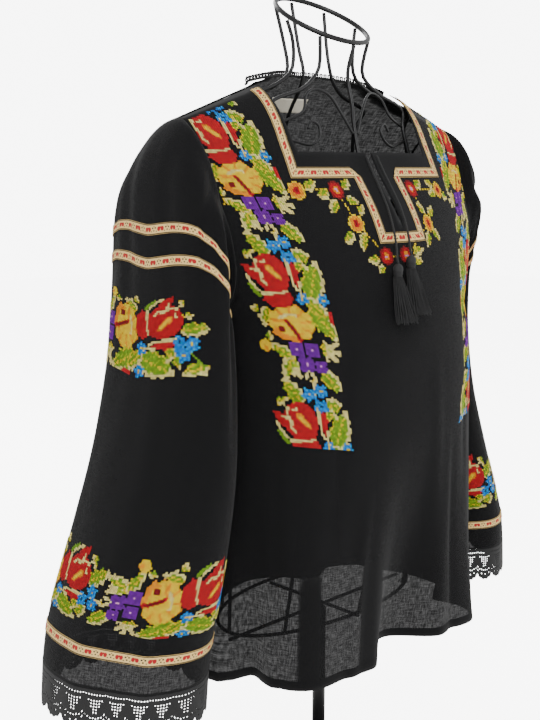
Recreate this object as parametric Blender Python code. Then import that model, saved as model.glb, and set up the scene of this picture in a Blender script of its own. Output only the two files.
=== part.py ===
"""Loose embroidered blouse with bell sleeves on a wire dress form.

Metres, +Z up, front faces -Y, the wearer's right is -X.
The origin is the middle of the underside of the round base.
"""
import math

import bmesh
import bpy
from mathutils import Vector

# Main sizes
HEM = 0.220            # height of the hem above the floor
WALL = 0.0012          # cloth wall
GAP = 0.0003           # gap between pieces that meet
SHOULDER_X = 0.190     # half width of a panel at the underarm
RIBBON_X = 0.1245      # outer line of the neck ribbon
SEAM_LEAN = 0.12       # how far the armhole seam leans out for each metre up
NECK_X = 0.105         # half width of the square neck
NECK_FRONT = 0.569     # front neck edge above the hem
SLIT_X = 0.0035        # half width of the front slit
SLIT_END = 0.490       # lower end of the slit above the hem
UNDERARM = 0.395       # underarm above the hem
ROUND = 2.4            # roundness of the body rings
TRIM = 0.0008          # ribbon wall
LACE_DROP = 0.043      # depth of the cuff lace
SCALLOPS = 22          # points round one cuff
WIRE = 0.0021          # radius of the wire of the form
POST = 0.0080          # radius of the post
BASE_R = 0.135         # radius of the base
BASE_H = 0.010         # height of the base

# Body depths by how far a point lies below the shoulder line
DEPTHS = [
    # drop, front, back
    (0.000, 0.0000, 0.0000),
    (0.004, 0.0150, 0.0170),
    (0.015, 0.0300, 0.0360),
    (0.035, 0.0460, 0.0540),
    (0.060, 0.0600, 0.0680),
    (0.090, 0.0760, 0.0800),
    (0.130, 0.0960, 0.0930),
    (0.200, 0.1240, 0.1060),
    (0.260, 0.1400, 0.1100),
    (0.320, 0.1460, 0.1110),
    (0.420, 0.1440, 0.1130),
    (0.540, 0.1390, 0.1250),
    (0.690, 0.1370, 0.1380),
]

# Half widths of the body by height above the hem
WIDTHS = [
    # height, ring, edge of the panel
    (0.000, 0.205, 0.205),
    (0.120, 0.200, 0.200),
    (0.270, 0.195, 0.195),
    (0.395, 0.190, 0.190),
    (0.415, 0.203, 0.190),
    (0.450, 0.228, 0.190),
    (0.490, 0.250, 0.190),
    (0.560, 0.262, 0.190),
    (0.680, 0.265, 0.190),
]

# Hanging folds of the two panels
FRONT_FOLDS = [
    # place across, half width, depth at the hem, height where it fades
    (0.03, 0.17, -0.050, 0.27),
    (0.40, 0.17, 0.016, 0.26),
    (-0.42, 0.19, 0.012, 0.28),
    (0.68, 0.15, -0.034, 0.24),
    (-0.72, 0.16, -0.030, 0.26),
]
BACK_FOLDS = [
    (0.52, 0.20, 0.022, 0.34),
    (-0.52, 0.20, 0.020, 0.34),
    (0.06, 0.18, 0.024, 0.36),
    (-0.26, 0.14, -0.020, 0.28),
    (0.30, 0.13, -0.018, 0.28),
]

# Sections of the two sleeves from the shoulder to the cuff
SLEEVE_RIGHT = [
    # outer x, outer h, inner x, inner h, centre y, half depth, lift
    (0.2235, 0.598, 0.1960, 0.394, 0.000, 0.061, 0.000),
    (0.2345, 0.585, 0.1980, 0.391, 0.000, 0.067, 0.006),
    (0.2455, 0.565, 0.1995, 0.387, -0.002, 0.073, 0.014),
    (0.2540, 0.5385, 0.2015, 0.381, -0.004, 0.079, 0.022),
    (0.2600, 0.503, 0.2035, 0.373, -0.006, 0.082, 0.028),
    (0.2640, 0.463, 0.2050, 0.360, -0.008, 0.084, 0.030),
    (0.2710, 0.413, 0.2065, 0.340, -0.012, 0.087, 0.028),
    (0.2850, 0.343, 0.2080, 0.300, -0.017, 0.091, 0.020),
    (0.3080, 0.263, 0.2090, 0.240, -0.019, 0.095, 0.010),
    (0.3340, 0.183, 0.2100, 0.172, -0.012, 0.098, 0.004),
    (0.3520, 0.118, 0.2110, 0.110, 0.000, 0.099, 0.000),
    (0.3610, 0.080, 0.2120, 0.074, 0.006, 0.098, 0.000),
    (0.3680, 0.043, 0.2125, 0.040, 0.009, 0.096, 0.000),
]
SLEEVE_LEFT = [
    # outer x, outer h, inner x, inner h, centre y, half depth, lift
    (0.2225, 0.598, 0.1960, 0.394, 0.002, 0.061, 0.000),
    (0.2320, 0.584, 0.1980, 0.391, 0.006, 0.067, 0.006),
    (0.2405, 0.564, 0.1995, 0.387, 0.012, 0.072, 0.014),
    (0.2465, 0.5385, 0.2015, 0.381, 0.019, 0.076, 0.022),
    (0.2500, 0.503, 0.2035, 0.373, 0.026, 0.078, 0.028),
    (0.2520, 0.463, 0.2050, 0.360, 0.033, 0.080, 0.030),
    (0.2570, 0.413, 0.2065, 0.340, 0.042, 0.083, 0.028),
    (0.2700, 0.343, 0.2090, 0.300, 0.052, 0.087, 0.020),
    (0.2920, 0.263, 0.2130, 0.240, 0.056, 0.091, 0.010),
    (0.3190, 0.183, 0.2180, 0.172, 0.050, 0.093, 0.004),
    (0.3390, 0.118, 0.2220, 0.110, 0.040, 0.093, 0.000),
    (0.3490, 0.080, 0.2240, 0.074, 0.035, 0.092, 0.000),
    (0.3560, 0.043, 0.2250, 0.040, 0.033, 0.090, 0.000),
]
SLEEVE_FOLDS = [
    # angle in degrees, half width, depth at the cuff
    (35, 34, -0.007),
    (95, 30, 0.005),
    (150, 28, -0.006),
    (215, 34, -0.007),
    (300, 36, -0.006),
]

# Rows of the sleeve by the height of its outer edge
SLEEVE_ROWS = [0.598, 0.585, 0.560, 0.525, 0.4965, 0.4855, 0.4635, 0.4525, 0.410, 0.350,
               0.280, 0.215, 0.160, 0.1185, 0.0855, 0.0745, 0.043]
RIBBON_ROWS = [("upper_ribbon", 4), ("middle_ribbon", 6), ("lower_ribbon", 14)]
SLEEVE_COLS = 20

# Grid lines of the body panels
LOW_ROWS = [0.0, 0.010, 0.035, 0.070, 0.110, 0.155, 0.205, 0.260, 0.320, 0.365, 0.395, 0.425,
            0.450, 0.4725, 0.4835, 0.490, 0.515, 0.5415, 0.5525, 0.569]
TOP_ROWS = [0.30, 0.60, 0.85, 1.0]
COLS = [0.0035, 0.0275, 0.0385, 0.062, 0.085, 0.105, 0.1135, 0.1245, 0.145, 0.163, 0.177,
        0.186, 0.190]

# Rings that the ribs of the form run through
FORM_RINGS = [
    # height above the hem, half width, front depth, back depth
    (0.690, 0.050, 0.046, 0.040),
    (0.664, 0.050, 0.038, 0.032),
    (0.650, 0.062, 0.037, 0.034),
    (0.636, 0.094, 0.040, 0.042),
    (0.621, 0.154, 0.044, 0.052),
    (0.598, 0.146, 0.047, 0.062),
    (0.550, 0.158, 0.060, 0.078),
    (0.480, 0.158, 0.094, 0.090),
    (0.400, 0.152, 0.122, 0.090),
    (0.280, 0.120, 0.092, 0.074),
    (0.150, 0.144, 0.088, 0.090),
    (0.030, 0.150, 0.064, 0.086),
]
RIBS = [
    # name, angle from the front, how far under the neck ring it starts
    ("rib_front", 0, 0.0032),
    ("rib_front_right", -45, 0.0038),
    ("rib_front_left", 45, 0.0038),
    ("rib_right", -90, 0.0047),
    ("rib_left", 90, 0.0047),
    ("rib_back_right", -135, 0.0053),
    ("rib_back_left", 135, 0.0053),
    ("rib_back", 180, 0.0044),
]

# Curved wires seen in the open neck, each from a rib
ARCH = [
    # x, height
    (0.0730, 0.612), (0.0630, 0.630), (0.0480, 0.637), (0.0310, 0.631), (0.0170, 0.612),
]
ARCH_ENDS = (0.600, 0.590)
SCROLL = [
    # x, height
    (0.0860, 0.580), (0.0680, 0.577), (0.0540, 0.585), (0.0520, 0.597), (0.0610, 0.602),
    (0.0670, 0.594),
]
SCROLL_END = 0.584
SEAT_H = 0.621         # height where the form carries the shoulders

TIES = [
    # name, x at the neck, x at the tassel, height of the tassel top
    ("right", -0.0100, -0.0300, 0.452),
    ("left", 0.0080, -0.0085, 0.460),
]
CORD_R = 0.0013
TASSEL_LEN = 0.064

MATERIALS = {
    # slot: base colour, roughness, metallic
    "cotton_voile": ((0.012, 0.012, 0.013), 0.90, 0.0),
    "cotton_lace": ((0.010, 0.010, 0.011), 0.85, 0.0),
    "woven_ribbon": ((0.700, 0.560, 0.400), 0.80, 0.0),
    "label_tape": ((0.720, 0.700, 0.620), 0.85, 0.0),
    "cotton_cord": ((0.010, 0.010, 0.011), 0.80, 0.0),
    "painted_wire": ((0.015, 0.015, 0.016), 0.40, 0.6),
}


def shoulder_h(x):
    return 0.680 - 0.36 * abs(x)


def back_neck_h(x):
    """Back neck edge, a shallow curve that meets the shoulder line."""
    return shoulder_h(NECK_X) + 0.0145 * (1 - (x / NECK_X) ** 2)


def lerp_rows(rows, col, v):
    if v <= rows[0][0]:
        return rows[0][col]
    for a, b in zip(rows, rows[1:]):
        if v <= b[0]:
            f = (v - a[0]) / (b[0] - a[0])
            return a[col] + (b[col] - a[col]) * f
    return rows[-1][col]


def depth(col, drop):
    rows = [(math.sqrt(r[0]), r[1], r[2]) for r in DEPTHS]
    return lerp_rows(rows, col, math.sqrt(max(drop, 0.0)))


def seam_x(h):
    """Half width of the body at the armhole seam."""
    return SHOULDER_X + SEAM_LEAN * max(0.0, h - UNDERARM)


def spread(x, h):
    """Columns beyond the neck ribbon spread toward the dropped shoulder."""
    past = max(0.0, abs(x) - RIBBON_X) / (SHOULDER_X - RIBBON_X)
    return x + math.copysign(past * (seam_x(h) - SHOULDER_X), x)


def top_h(x):
    """Height of the shoulder line for a column of the panel."""
    h = shoulder_h(x)
    for _ in range(8):
        h = shoulder_h(spread(x, h))
    return h


def bell(q):
    q = abs(q)
    return 0.0 if q >= 1.0 else 0.5 + 0.5 * math.cos(math.pi * q)


def body_point(side, c, h):
    """Middle of the cloth wall; side -1 front and 1 back, c -1..1 across."""
    return body_at(side, spread(lerp_rows(WIDTHS, 2, h) * c, h), h)


def body_at(side, x, h):
    """Middle of the cloth wall at a given x."""
    c = max(-1.0, min(1.0, x / lerp_rows(WIDTHS, 2, h)))
    ring = lerp_rows(WIDTHS, 1, h)
    s = math.copysign(math.asin(abs(c) ** (ROUND / 2)) * 2 / math.pi, c)
    y = depth(1 if side < 0 else 2, shoulder_h(x) - h)
    if side < 0:
        y -= 0.018 * math.exp(-(x / 0.075) ** 2) * math.exp(-((h - 0.565) / 0.05) ** 2)
    shape = max(0.0, 1 - abs(x / ring) ** ROUND) ** (1 / ROUND)
    nx = math.copysign(abs(x / ring) ** (ROUND - 1) / ring, x)
    ny = shape ** (ROUND - 1) / max(y, 0.02)
    ln = math.hypot(nx, ny)
    push = 0.0
    for place, width, amount, top in (FRONT_FOLDS if side < 0 else BACK_FOLDS):
        fade = max(0.0, 1 - h / top) ** 1.4
        push += amount * fade * bell((s - place) / width)
    return Vector((x + push * nx / ln, side * (y * shape + push * ny / ln), HEM + h))


def arm_loop(phi):
    """Seam line of the armhole on the left, phi 0 top and half pi front."""
    top = top_h(SHOULDER_X)
    h = (top + UNDERARM) / 2 + (top - UNDERARM) / 2 * math.cos(phi)
    p = body_point(-1 if math.sin(phi) >= 0 else 1, 1.0, min(max(h, UNDERARM), top))
    return Vector((seam_x(h), p.y, HEM + h))


def sleeve_ring(rows, i, phi):
    i = min(max(i, 0), len(rows))
    if i == 0:
        return arm_loop(phi) + Vector((GAP, 0, 0))
    ox, oh, ix, ih, cy, half, lift = rows[i - 1]
    power = 2 / 2.2
    cs = math.copysign(abs(math.cos(phi)) ** power, math.cos(phi))
    sn = math.copysign(abs(math.sin(phi)) ** power, math.sin(phi))
    push = 0.0
    for at, width, amount in SLEEVE_FOLDS:
        off = (math.degrees(phi) - at + 180) % 360 - 180
        push += amount * bell(off / width) * max(0.0, (i - 5) / 8) ** 1.3
    grow = 1 + push / half
    mid = Vector(((ox + ix) / 2, cy, HEM + (oh + ih) / 2 + lift * abs(sn) ** 1.5))
    return mid + Vector(((ox - ix) / 2 * cs * grow, -half * sn * grow, (oh - ih) / 2 * cs))


def sleeve_point(rows, v, phi):
    """v counts sections from the armhole; a smooth curve through them."""
    i = min(int(v), len(rows) - 1)
    f = v - i
    a, b = sleeve_ring(rows, i - 1, phi), sleeve_ring(rows, i, phi)
    c, d = sleeve_ring(rows, i + 1, phi), sleeve_ring(rows, i + 2, phi)
    return 0.5 * (2 * b + (c - a) * f + (2 * a - 5 * b + 4 * c - d) * f * f
                  + (3 * b - a - 3 * c + d) * f ** 3)


def sleeve_v(rows, height):
    """Section number where the outer edge has the given height."""
    lo, hi = 1.0, float(len(rows))
    for _ in range(40):
        mid = (lo + hi) / 2
        if sleeve_point(rows, mid, 0.0).z - HEM > height:
            lo = mid
        else:
            hi = mid
    return (lo + hi) / 2


def add_material(slot):
    color, rough, metal = MATERIALS[slot]
    mat = bpy.data.materials.new(slot)
    mat.use_nodes = True
    node = mat.node_tree.nodes["Principled BSDF"]
    node.inputs["Base Color"].default_value = (*color, 1.0)
    node.inputs["Roughness"].default_value = rough
    node.inputs["Metallic"].default_value = metal
    mat.diffuse_color = (*color, 1.0)
    return mat


def add_mesh(name, verts, faces, slot, smooth=True):
    mesh = bpy.data.meshes.new(name)
    mesh.from_pydata([tuple(v) for v in verts], [], faces)
    bm = bmesh.new()
    bm.from_mesh(mesh)
    bmesh.ops.recalc_face_normals(bm, faces=bm.faces)
    for face in bm.faces:
        face.smooth = smooth
    bm.to_mesh(mesh)
    bm.free()
    obj = bpy.data.objects.new(name, mesh)
    obj.data.materials.append(MATS[slot])
    PARTS.objects.link(obj)
    return obj


def grid_normals(grid, wrap):
    rows, cols = len(grid), len(grid[0])
    out = []
    for i in range(rows):
        line = []
        for j in range(cols):
            up = grid[min(i + 1, rows - 1)][j] - grid[max(i - 1, 0)][j]
            if wrap:
                side = grid[i][(j + 1) % cols] - grid[i][(j - 1) % cols]
            else:
                side = grid[i][min(j + 1, cols - 1)] - grid[i][max(j - 1, 0)]
            n = side.cross(up)
            line.append(n.normalized() if n.length > 1e-12 else Vector((0, 0, 1)))
        out.append(line)
    return out


def walls(name, grid, normals, slot, low, high, cells=None, wrap=False, fix=None):
    """Closed wall between two offsets of a grid of points."""
    rows, cols = len(grid), len(grid[0])
    span = cols if wrap else cols - 1
    if cells is None:
        cells = [(i, j) for i in range(rows - 1) for j in range(span)]
    verts, index, faces = [], {}, []

    def vert(i, j, skin):
        key = (i, j % cols, skin)
        if key not in index:
            off = high if skin else low
            amount = off(i) if callable(off) else off
            p = grid[i][j % cols] + normals[i][j % cols] * amount
            if fix:
                p = fix(i, j % cols, p)
            index[key] = len(verts)
            verts.append(p)
        return index[key]

    edges = {}
    for i, j in cells:
        ring = [(i, j), (i, j + 1), (i + 1, j + 1), (i + 1, j)]
        faces.append([vert(a, b, 1) for a, b in ring])
        faces.append([vert(a, b, 0) for a, b in reversed(ring)])
        for k in range(4):
            a, b = ring[k], ring[(k + 1) % 4]
            a, b = (a[0], a[1] % cols), (b[0], b[1] % cols)
            edges[(a, b)] = True
    for a, b in edges:
        if (b, a) not in edges:
            faces.append([vert(*b, 1), vert(*a, 1), vert(*a, 0), vert(*b, 0)])
    return add_mesh(name, verts, faces, slot)


def body_grid(side):
    """Rows of points, with the column widths, for one body panel."""
    xs = [-x for x in reversed(COLS)] + COLS
    grid = []
    for h in LOW_ROWS:
        grid.append([body_point(side, x / SHOULDER_X, h) for x in xs])
    for part in TOP_ROWS:
        line = []
        for x in xs:
            flare = max(0.0, 1 - (abs(x) - NECK_X) / (SHOULDER_X - NECK_X))
            shift = math.copysign(0.007 * min(flare, 1.0, abs(x) / NECK_X), x)
            if abs(x) < NECK_X - 1e-6 and side > 0:
                top = back_neck_h(x)
            else:
                top = top_h(x + shift) - 0.0004
            h = NECK_FRONT + (top - NECK_FRONT) * part
            line.append(body_point(side, (x + shift * part) / SHOULDER_X, h))
        grid.append(line)
    return xs, grid


def body_cells(xs, side):
    cells = []
    low = len(LOW_ROWS) - 1
    for i in range(low + len(TOP_ROWS)):
        for j in range(len(xs) - 1):
            mid = abs(xs[j] + xs[j + 1]) / 2
            if side < 0:
                if i >= low and mid < NECK_X:
                    continue
                if mid < SLIT_X and LOW_ROWS[min(i, low)] >= SLIT_END - 1e-6:
                    continue
            cells.append((i, j))
    return cells


def trim_cells(xs):
    """Cells of the ribbon that frames the neck and the slit."""
    cells = []
    low = len(LOW_ROWS) - 1
    for i in range(low + len(TOP_ROWS)):
        h = LOW_ROWS[i] + 0.001 if i < low else 1.0
        for j in range(len(xs) - 1):
            mid = abs(xs[j] + xs[j + 1]) / 2
            strap = 0.1135 < mid < 0.1245 and h > 0.5415
            across = 0.0275 < mid < 0.1245 and 0.5415 < h < 0.5525
            down = 0.0275 < mid < 0.0385 and 0.4725 < h < 0.5525
            foot = mid < 0.0385 and 0.4725 < h < 0.4835
            if strap or across or down or foot:
                cells.append((i, j))
    return cells


def add_body():
    for side, name in ((-1, "front_panel"), (1, "back_panel")):
        xs, grid = body_grid(side)
        normals = grid_normals(grid, False)
        if side > 0:
            normals = [[-n for n in line] for line in normals]
        last, right = len(grid) - 1, len(xs) - 1

        def fix(i, j, p, side=side, last=last, right=right):
            h = p.z - HEM
            limit = GAP / 2
            if j in (0, right) and h > UNDERARM - 0.002:
                p.x = math.copysign(seam_x(h), p.x)
            if (j in (0, right) and h < UNDERARM + 0.002) or i == last:
                p.y = side * limit if j in (0, right) or abs(p.x) > NECK_X - 0.003 else p.y
            if side * p.y < limit:
                p.y = side * limit
            return p

        def wall(i):
            return WALL / 2 + (0.0003 if i < 2 else 0.0)

        walls(name, grid, normals, "cotton_voile", lambda i: -wall(i), wall,
              body_cells(xs, side), fix=fix)
        if side < 0:
            low = WALL / 2 + GAP

            def keep(i, j, p, last=last):
                if i == last or p.y > -GAP / 2:
                    p.y = min(p.y, -GAP / 2)
                return p

            walls("neck_ribbon", grid, normals, "woven_ribbon", low, low + TRIM,
                  trim_cells(xs), fix=keep)


def add_sleeve(which, rows, word):
    levels = [sleeve_v(rows, h) for h in SLEEVE_ROWS]
    levels[-1] = float(len(rows))
    levels = [0.0, 0.35] + levels
    grid = []
    for v in levels:
        line = []
        for k in range(SLEEVE_COLS):
            p = sleeve_point(rows, v, 2 * math.pi * k / SLEEVE_COLS)
            line.append(Vector((which * p.x, p.y, p.z)))
        grid.append(line)
    normals = grid_normals(grid, True)
    centre = sum(grid[9], Vector()) / SLEEVE_COLS
    if (grid[9][0] - centre).dot(normals[9][0]) < 0:
        normals = [[-n for n in line] for line in normals]
    for line in (0,):
        for k, n in enumerate(normals[line]):
            flat = Vector((0, n.y, n.z))
            normals[line][k] = flat.normalized()

    def fix(i, j, p):
        if i == 0:
            p.x = math.copysign(seam_x(p.z - HEM) + GAP, p.x)
        return p

    walls("sleeve_" + word, grid, normals, "cotton_voile", -WALL / 2, WALL / 2, wrap=True, fix=fix)
    for label, row in RIBBON_ROWS:
        i = row + 2
        low = WALL / 2 + GAP
        walls(label + "_" + word, grid, normals, "woven_ribbon", low, low + TRIM,
              [(i, j) for j in range(SLEEVE_COLS)], wrap=True)


def add_cuff_lace(which, rows, word):
    count = SCALLOPS * 3
    end = float(len(rows))
    grid = [[], []]
    for k in range(count):
        phi = 2 * math.pi * k / count
        top = sleeve_point(rows, end, phi)
        before = sleeve_point(rows, end - 0.5, phi)
        way = (top - before).normalized()
        drop = LACE_DROP * (1.0 if k % 3 else 0.86)
        low = top + Vector((way.x, way.y, 0)) * 0.55 * drop + Vector((0, 0, -drop))
        grid[0].append(Vector((which * top.x, top.y, top.z - GAP)))
        grid[1].append(Vector((which * low.x, low.y, low.z)))
    normals = grid_normals(grid, True)
    centre = sum(grid[0], Vector()) / count
    if (grid[0][0] - centre).dot(normals[0][0]) < 0:
        normals = [[-n for n in line] for line in normals]
    for k, n in enumerate(normals[0]):
        normals[0][k] = Vector((n.x, n.y, 0)).normalized()
    walls("cuff_lace_" + word, grid, normals, "cotton_lace", -0.0005, 0.0005, wrap=True)


def add_neck_lace():
    """Looped edging that stands on the back neck edge."""
    count = 42
    grid = [[], []]
    wide = NECK_X + 0.004
    for k in range(count + 1):
        x = -wide + 2 * wide * k / count
        c = x / SHOULDER_X
        h = back_neck_h(x / (1 + 0.007 / NECK_X)) if abs(x) < NECK_X else shoulder_h(x) - 0.001
        p = body_point(1, c, min(h, shoulder_h(x) - 0.004))
        rise = 0.0062 if k % 2 else 0.0046
        y = max(p.y, 0.004)
        grid[0].append(Vector((x, y, HEM + h + 0.0012)))
        grid[1].append(Vector((x, y, HEM + h + 0.0012 + rise)))
    normals = [[Vector((0, 1, 0)) for _ in line] for line in grid]
    walls("neck_lace", grid, normals, "cotton_lace", -0.0006, 0.0006)


def add_label():
    grid = []
    for h in (0.606, 0.615, 0.624):
        line = []
        for k in range(7):
            x = -0.030 + 0.060 * k / 6
            p = body_point(1, x / SHOULDER_X, h)
            line.append(p - Vector((0, 0.0024, -0.0)))
        grid.append(line)
    normals = [[Vector((0, -1, 0)) for _ in line] for line in grid]
    walls("neck_label", grid, normals, "label_tape", -0.0003, 0.0003)


def smooth_route(route, count):
    """Even points on a smooth curve through the route."""
    pts = [Vector(p) for p in route]
    fine = []
    for i in range(len(pts) - 1):
        a = pts[max(i - 1, 0)]
        b, c = pts[i], pts[i + 1]
        d = pts[min(i + 2, len(pts) - 1)]
        for k in range(16):
            f = k / 16
            fine.append(0.5 * (2 * b + (c - a) * f + (2 * a - 5 * b + 4 * c - d) * f * f
                               + (3 * b - a - 3 * c + d) * f ** 3))
    fine.append(pts[-1])
    length = [0.0]
    for a, b in zip(fine, fine[1:]):
        length.append(length[-1] + (b - a).length)
    out, j = [], 0
    for k in range(count):
        want = length[-1] * k / (count - 1)
        while j < len(fine) - 2 and length[j + 1] < want:
            j += 1
        seg = length[j + 1] - length[j]
        out.append(fine[j].lerp(fine[j + 1], (want - length[j]) / seg if seg else 0.0))
    return out


def add_tube(name, points, radius, slot, cyclic=False):
    curve = bpy.data.curves.new(name, "CURVE")
    curve.dimensions = "3D"
    curve.bevel_depth = radius
    curve.bevel_resolution = 2
    curve.use_fill_caps = not cyclic
    spline = curve.splines.new("POLY")
    spline.points.add(len(points) - 1)
    for point, p in zip(spline.points, points):
        point.co = (p[0], p[1], p[2], 1.0)
    spline.use_cyclic_u = cyclic
    spline.use_smooth = True
    obj = bpy.data.objects.new(name, curve)
    obj.data.materials.append(MATS[slot])
    PARTS.objects.link(obj)
    return obj


def tie_route(start_x, end_x, top):
    """Cord from the neck edge down the front to its tassel."""
    route = []
    for k in range(7):
        f = k / 6
        x = start_x + (end_x - start_x) * f ** 1.3
        h = 0.5635 + (top + 0.002 - 0.5635) * f
        p = body_point(-1, x / SHOULDER_X, h)
        route.append(Vector((p.x, p.y - 0.0038 - 0.006 * f, p.z + 0.002)))
    tip = route[-1]
    route.append(Vector((tip.x, tip.y - 0.0012, HEM + top + 0.0006)))
    return route


def add_ties():
    for word, start_x, end_x, top in TIES:
        route = tie_route(start_x, end_x, top)
        add_tube("tie_cord_" + word, smooth_route(route, 17), CORD_R, "cotton_cord")
        add_tassel("tassel_" + word, route[-1] - Vector((0, 0, 0.0006 + GAP)))


def add_tassel(name, top):
    """Wrapped head with strands that start inside its underside."""
    sides = 10
    profile = [
        # radius, drop
        (0.0026, 0.0000), (0.0052, 0.0030), (0.0056, 0.0075), (0.0040, 0.0105),
        (0.0052, 0.0140),
    ]
    verts, faces = [], []
    for r, drop in profile:
        for k in range(sides):
            a = 2 * math.pi * k / sides
            verts.append(top + Vector((r * math.cos(a), r * math.sin(a), -drop)))
    for i in range(len(profile) - 1):
        for k in range(sides):
            n = (k + 1) % sides
            faces.append([i * sides + k, i * sides + n, (i + 1) * sides + n, (i + 1) * sides + k])
    faces.append(list(range(sides)))
    base = (len(profile) - 1) * sides
    inner = len(verts)
    for k in range(sides):
        a = 2 * math.pi * k / sides
        verts.append(top + Vector((0.0026 * math.cos(a), 0.0026 * math.sin(a), -profile[-1][1])))
    first = len(faces)
    for k in range(sides):
        n = (k + 1) % sides
        faces.append([base + k, base + n, inner + n, inner + k])
    for k in range(0, sides, 2):
        n, m = (k + 1) % sides, (k + 2) % sides
        faces.append([inner + k, inner + n, inner + m, len(verts)])
    verts.append(top + Vector((0, 0, -profile[-1][1])))
    obj = add_mesh(name, verts, faces, "cotton_cord")
    bm = bmesh.new()
    bm.from_mesh(obj.data)
    low = top.z - profile[-1][1]
    roots = [f for f in bm.faces if all(abs(v.co.z - low) < 1e-6 for v in f.verts)]
    bmesh.ops.inset_individual(bm, faces=roots, thickness=0.00035)
    tips = bmesh.ops.extrude_discrete_faces(bm, faces=roots)["faces"]
    end = body_point(-1, top.x / SHOULDER_X, top.z - HEM - TASSEL_LEN)
    forward = end.y - 0.0135 - top.y
    for number, face in enumerate(tips):
        mid = face.calc_center_median()
        out = Vector((mid.x - top.x, mid.y - top.y, 0))
        drop = TASSEL_LEN - profile[-1][1] - 0.002 * (number % 3)
        shift = out * 1.35 + Vector((0, forward, -drop))
        for v in face.verts:
            v.co = mid + (v.co - mid) * 0.8 + shift
    bmesh.ops.recalc_face_normals(bm, faces=bm.faces)
    bm.to_mesh(obj.data)
    bm.free()
    return obj


def form_point(angle, h, inset=0.0):
    rows = [(r[0], r[1], r[2], r[3]) for r in reversed(FORM_RINGS)]
    a = math.radians(angle)
    wide = lerp_rows(rows, 1, h) - inset
    deep = lerp_rows(rows, 2 if math.cos(a) >= 0 else 3, h) - inset
    x, y = wide * math.sin(a), -deep * math.cos(a)
    side = -1 if y < 0 else 1
    edge = NECK_FRONT - 0.004 if side < 0 else back_neck_h(x) + 0.004
    open_neck = abs(x) < NECK_X - 0.004 and h > edge
    if abs(x) < SHOULDER_X - 0.01 and not open_neck:
        room = abs(body_at(side, x, min(h, shoulder_h(x))).y)
        y = side * min(abs(y), max(room - 0.0054, 0.0))
    return Vector((x, y, HEM + h))


def add_form():
    tilt = math.radians(30)
    ring_mid = Vector((0.0, 0.003, HEM + 0.717))

    def on_ring(a, r=0.0563):
        return ring_mid + Vector((r * math.sin(a), -r * math.cos(a) * math.cos(tilt),
                                  -r * math.cos(a) * math.sin(tilt)))

    add_tube("neck_ring", [on_ring(2 * math.pi * k / 24) for k in range(24)], 0.0028,
             "painted_wire", cyclic=True)
    hoop_h = FORM_RINGS[-1][0]
    hoop = [form_point(360 * k / 24, hoop_h) for k in range(24)]
    add_tube("lower_hoop", hoop, WIRE, "painted_wire", cyclic=True)
    lines = {}
    for name, angle, under in RIBS:
        start = on_ring(math.radians(angle)) + Vector((0, 0, -under))
        # a rib stops just above the hoop
        route = [start]
        for h in [r[0] for r in FORM_RINGS[:-1]]:
            p = form_point(angle, h)
            if p.z < start.z - 0.010:
                route.append(p)
        route.append(form_point(angle, hoop_h + WIRE + GAP + 0.0001))
        # one point lies just under the shoulder, where the cloth rests
        seat = min(range(len(route)), key=lambda k: abs(route[k].z - HEM - SEAT_H))
        lines[angle] = smooth_route(route[:seat + 1], 8) + smooth_route(route[seat:], 13)[1:]
        add_tube(name, lines[angle], WIRE, "painted_wire")
    for side, word in ((-1, "right"), (1, "left")):
        add_neck_wires(side, word, lines)
    top = HEM + hoop_h - WIRE * 2 - GAP
    for name, angle in (("cross_bar_front", 0), ("cross_bar_side", 90)):
        a = form_point(angle, hoop_h)
        b = form_point(angle + 180, hoop_h)
        z = top if angle == 0 else top - WIRE * 2 - GAP
        add_tube(name, [Vector((a.x, a.y, z)), Vector((b.x, b.y, z))], WIRE, "painted_wire")
    return top - WIRE * 3 - GAP * 2


def add_neck_wires(side, word, lines):
    """An arch and a scroll between the front ribs of one side."""
    radius = 0.0015

    def place(x, h):
        rows = list(reversed(FORM_RINGS))
        wide, deep = lerp_rows(rows, 1, h), lerp_rows(rows, 2, h)
        y = -deep * math.sqrt(max(0.05, 1 - (x / wide) ** 2)) + 0.0020
        return Vector((side * x, y, HEM + h))

    def beside(angle, h, toward):
        for a, b in zip(lines[angle], lines[angle][1:]):
            if a.z >= HEM + h > b.z:
                p = a.lerp(b, (a.z - HEM - h) / (a.z - b.z))
                along = (b - a).normalized()
        way = (toward - p).normalized()
        lean = way.dot(along)
        reach = WIRE + GAP + 0.0004 + radius * abs(lean)
        return p + (way - along * lean).normalized() * reach

    marks = [place(x, h) for x, h in ARCH]
    ends = (beside(side * 45, ARCH_ENDS[0], marks[0]), beside(0, ARCH_ENDS[1], marks[-1]))
    add_tube("arch_front_" + word, smooth_route([ends[0]] + marks + [ends[1]], 12), radius,
             "painted_wire")
    marks = [place(x, h) for x, h in SCROLL]
    start = beside(side * 45, SCROLL_END, marks[0])
    add_tube("scroll_front_" + word, smooth_route([start] + marks, 12), radius, "painted_wire")


def add_stand(post_top):
    for name, profile in (
        ("post", [(0.0, BASE_H + GAP), (POST, BASE_H + GAP), (POST, post_top), (0.0, post_top)]),
        ("base", [(0.0, 0.0), (BASE_R, 0.0), (BASE_R, 0.006), (BASE_R - 0.006, BASE_H),
                  (0.0, BASE_H)]),
    ):
        sides = 20 if name == "post" else 40
        verts, faces = [], []
        ring = [p for p in profile if p[0] > 0]
        for r, z in ring:
            for k in range(sides):
                a = 2 * math.pi * k / sides
                verts.append(Vector((r * math.cos(a), r * math.sin(a), z)))
        for i in range(len(ring) - 1):
            for k in range(sides):
                n = (k + 1) % sides
                faces.append([i * sides + k, i * sides + n, (i + 1) * sides + n,
                              (i + 1) * sides + k])
        faces.append(list(range(sides)))
        faces.append([(len(ring) - 1) * sides + k for k in range(sides)])
        add_mesh(name, verts, faces, "painted_wire", smooth=False)


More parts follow.
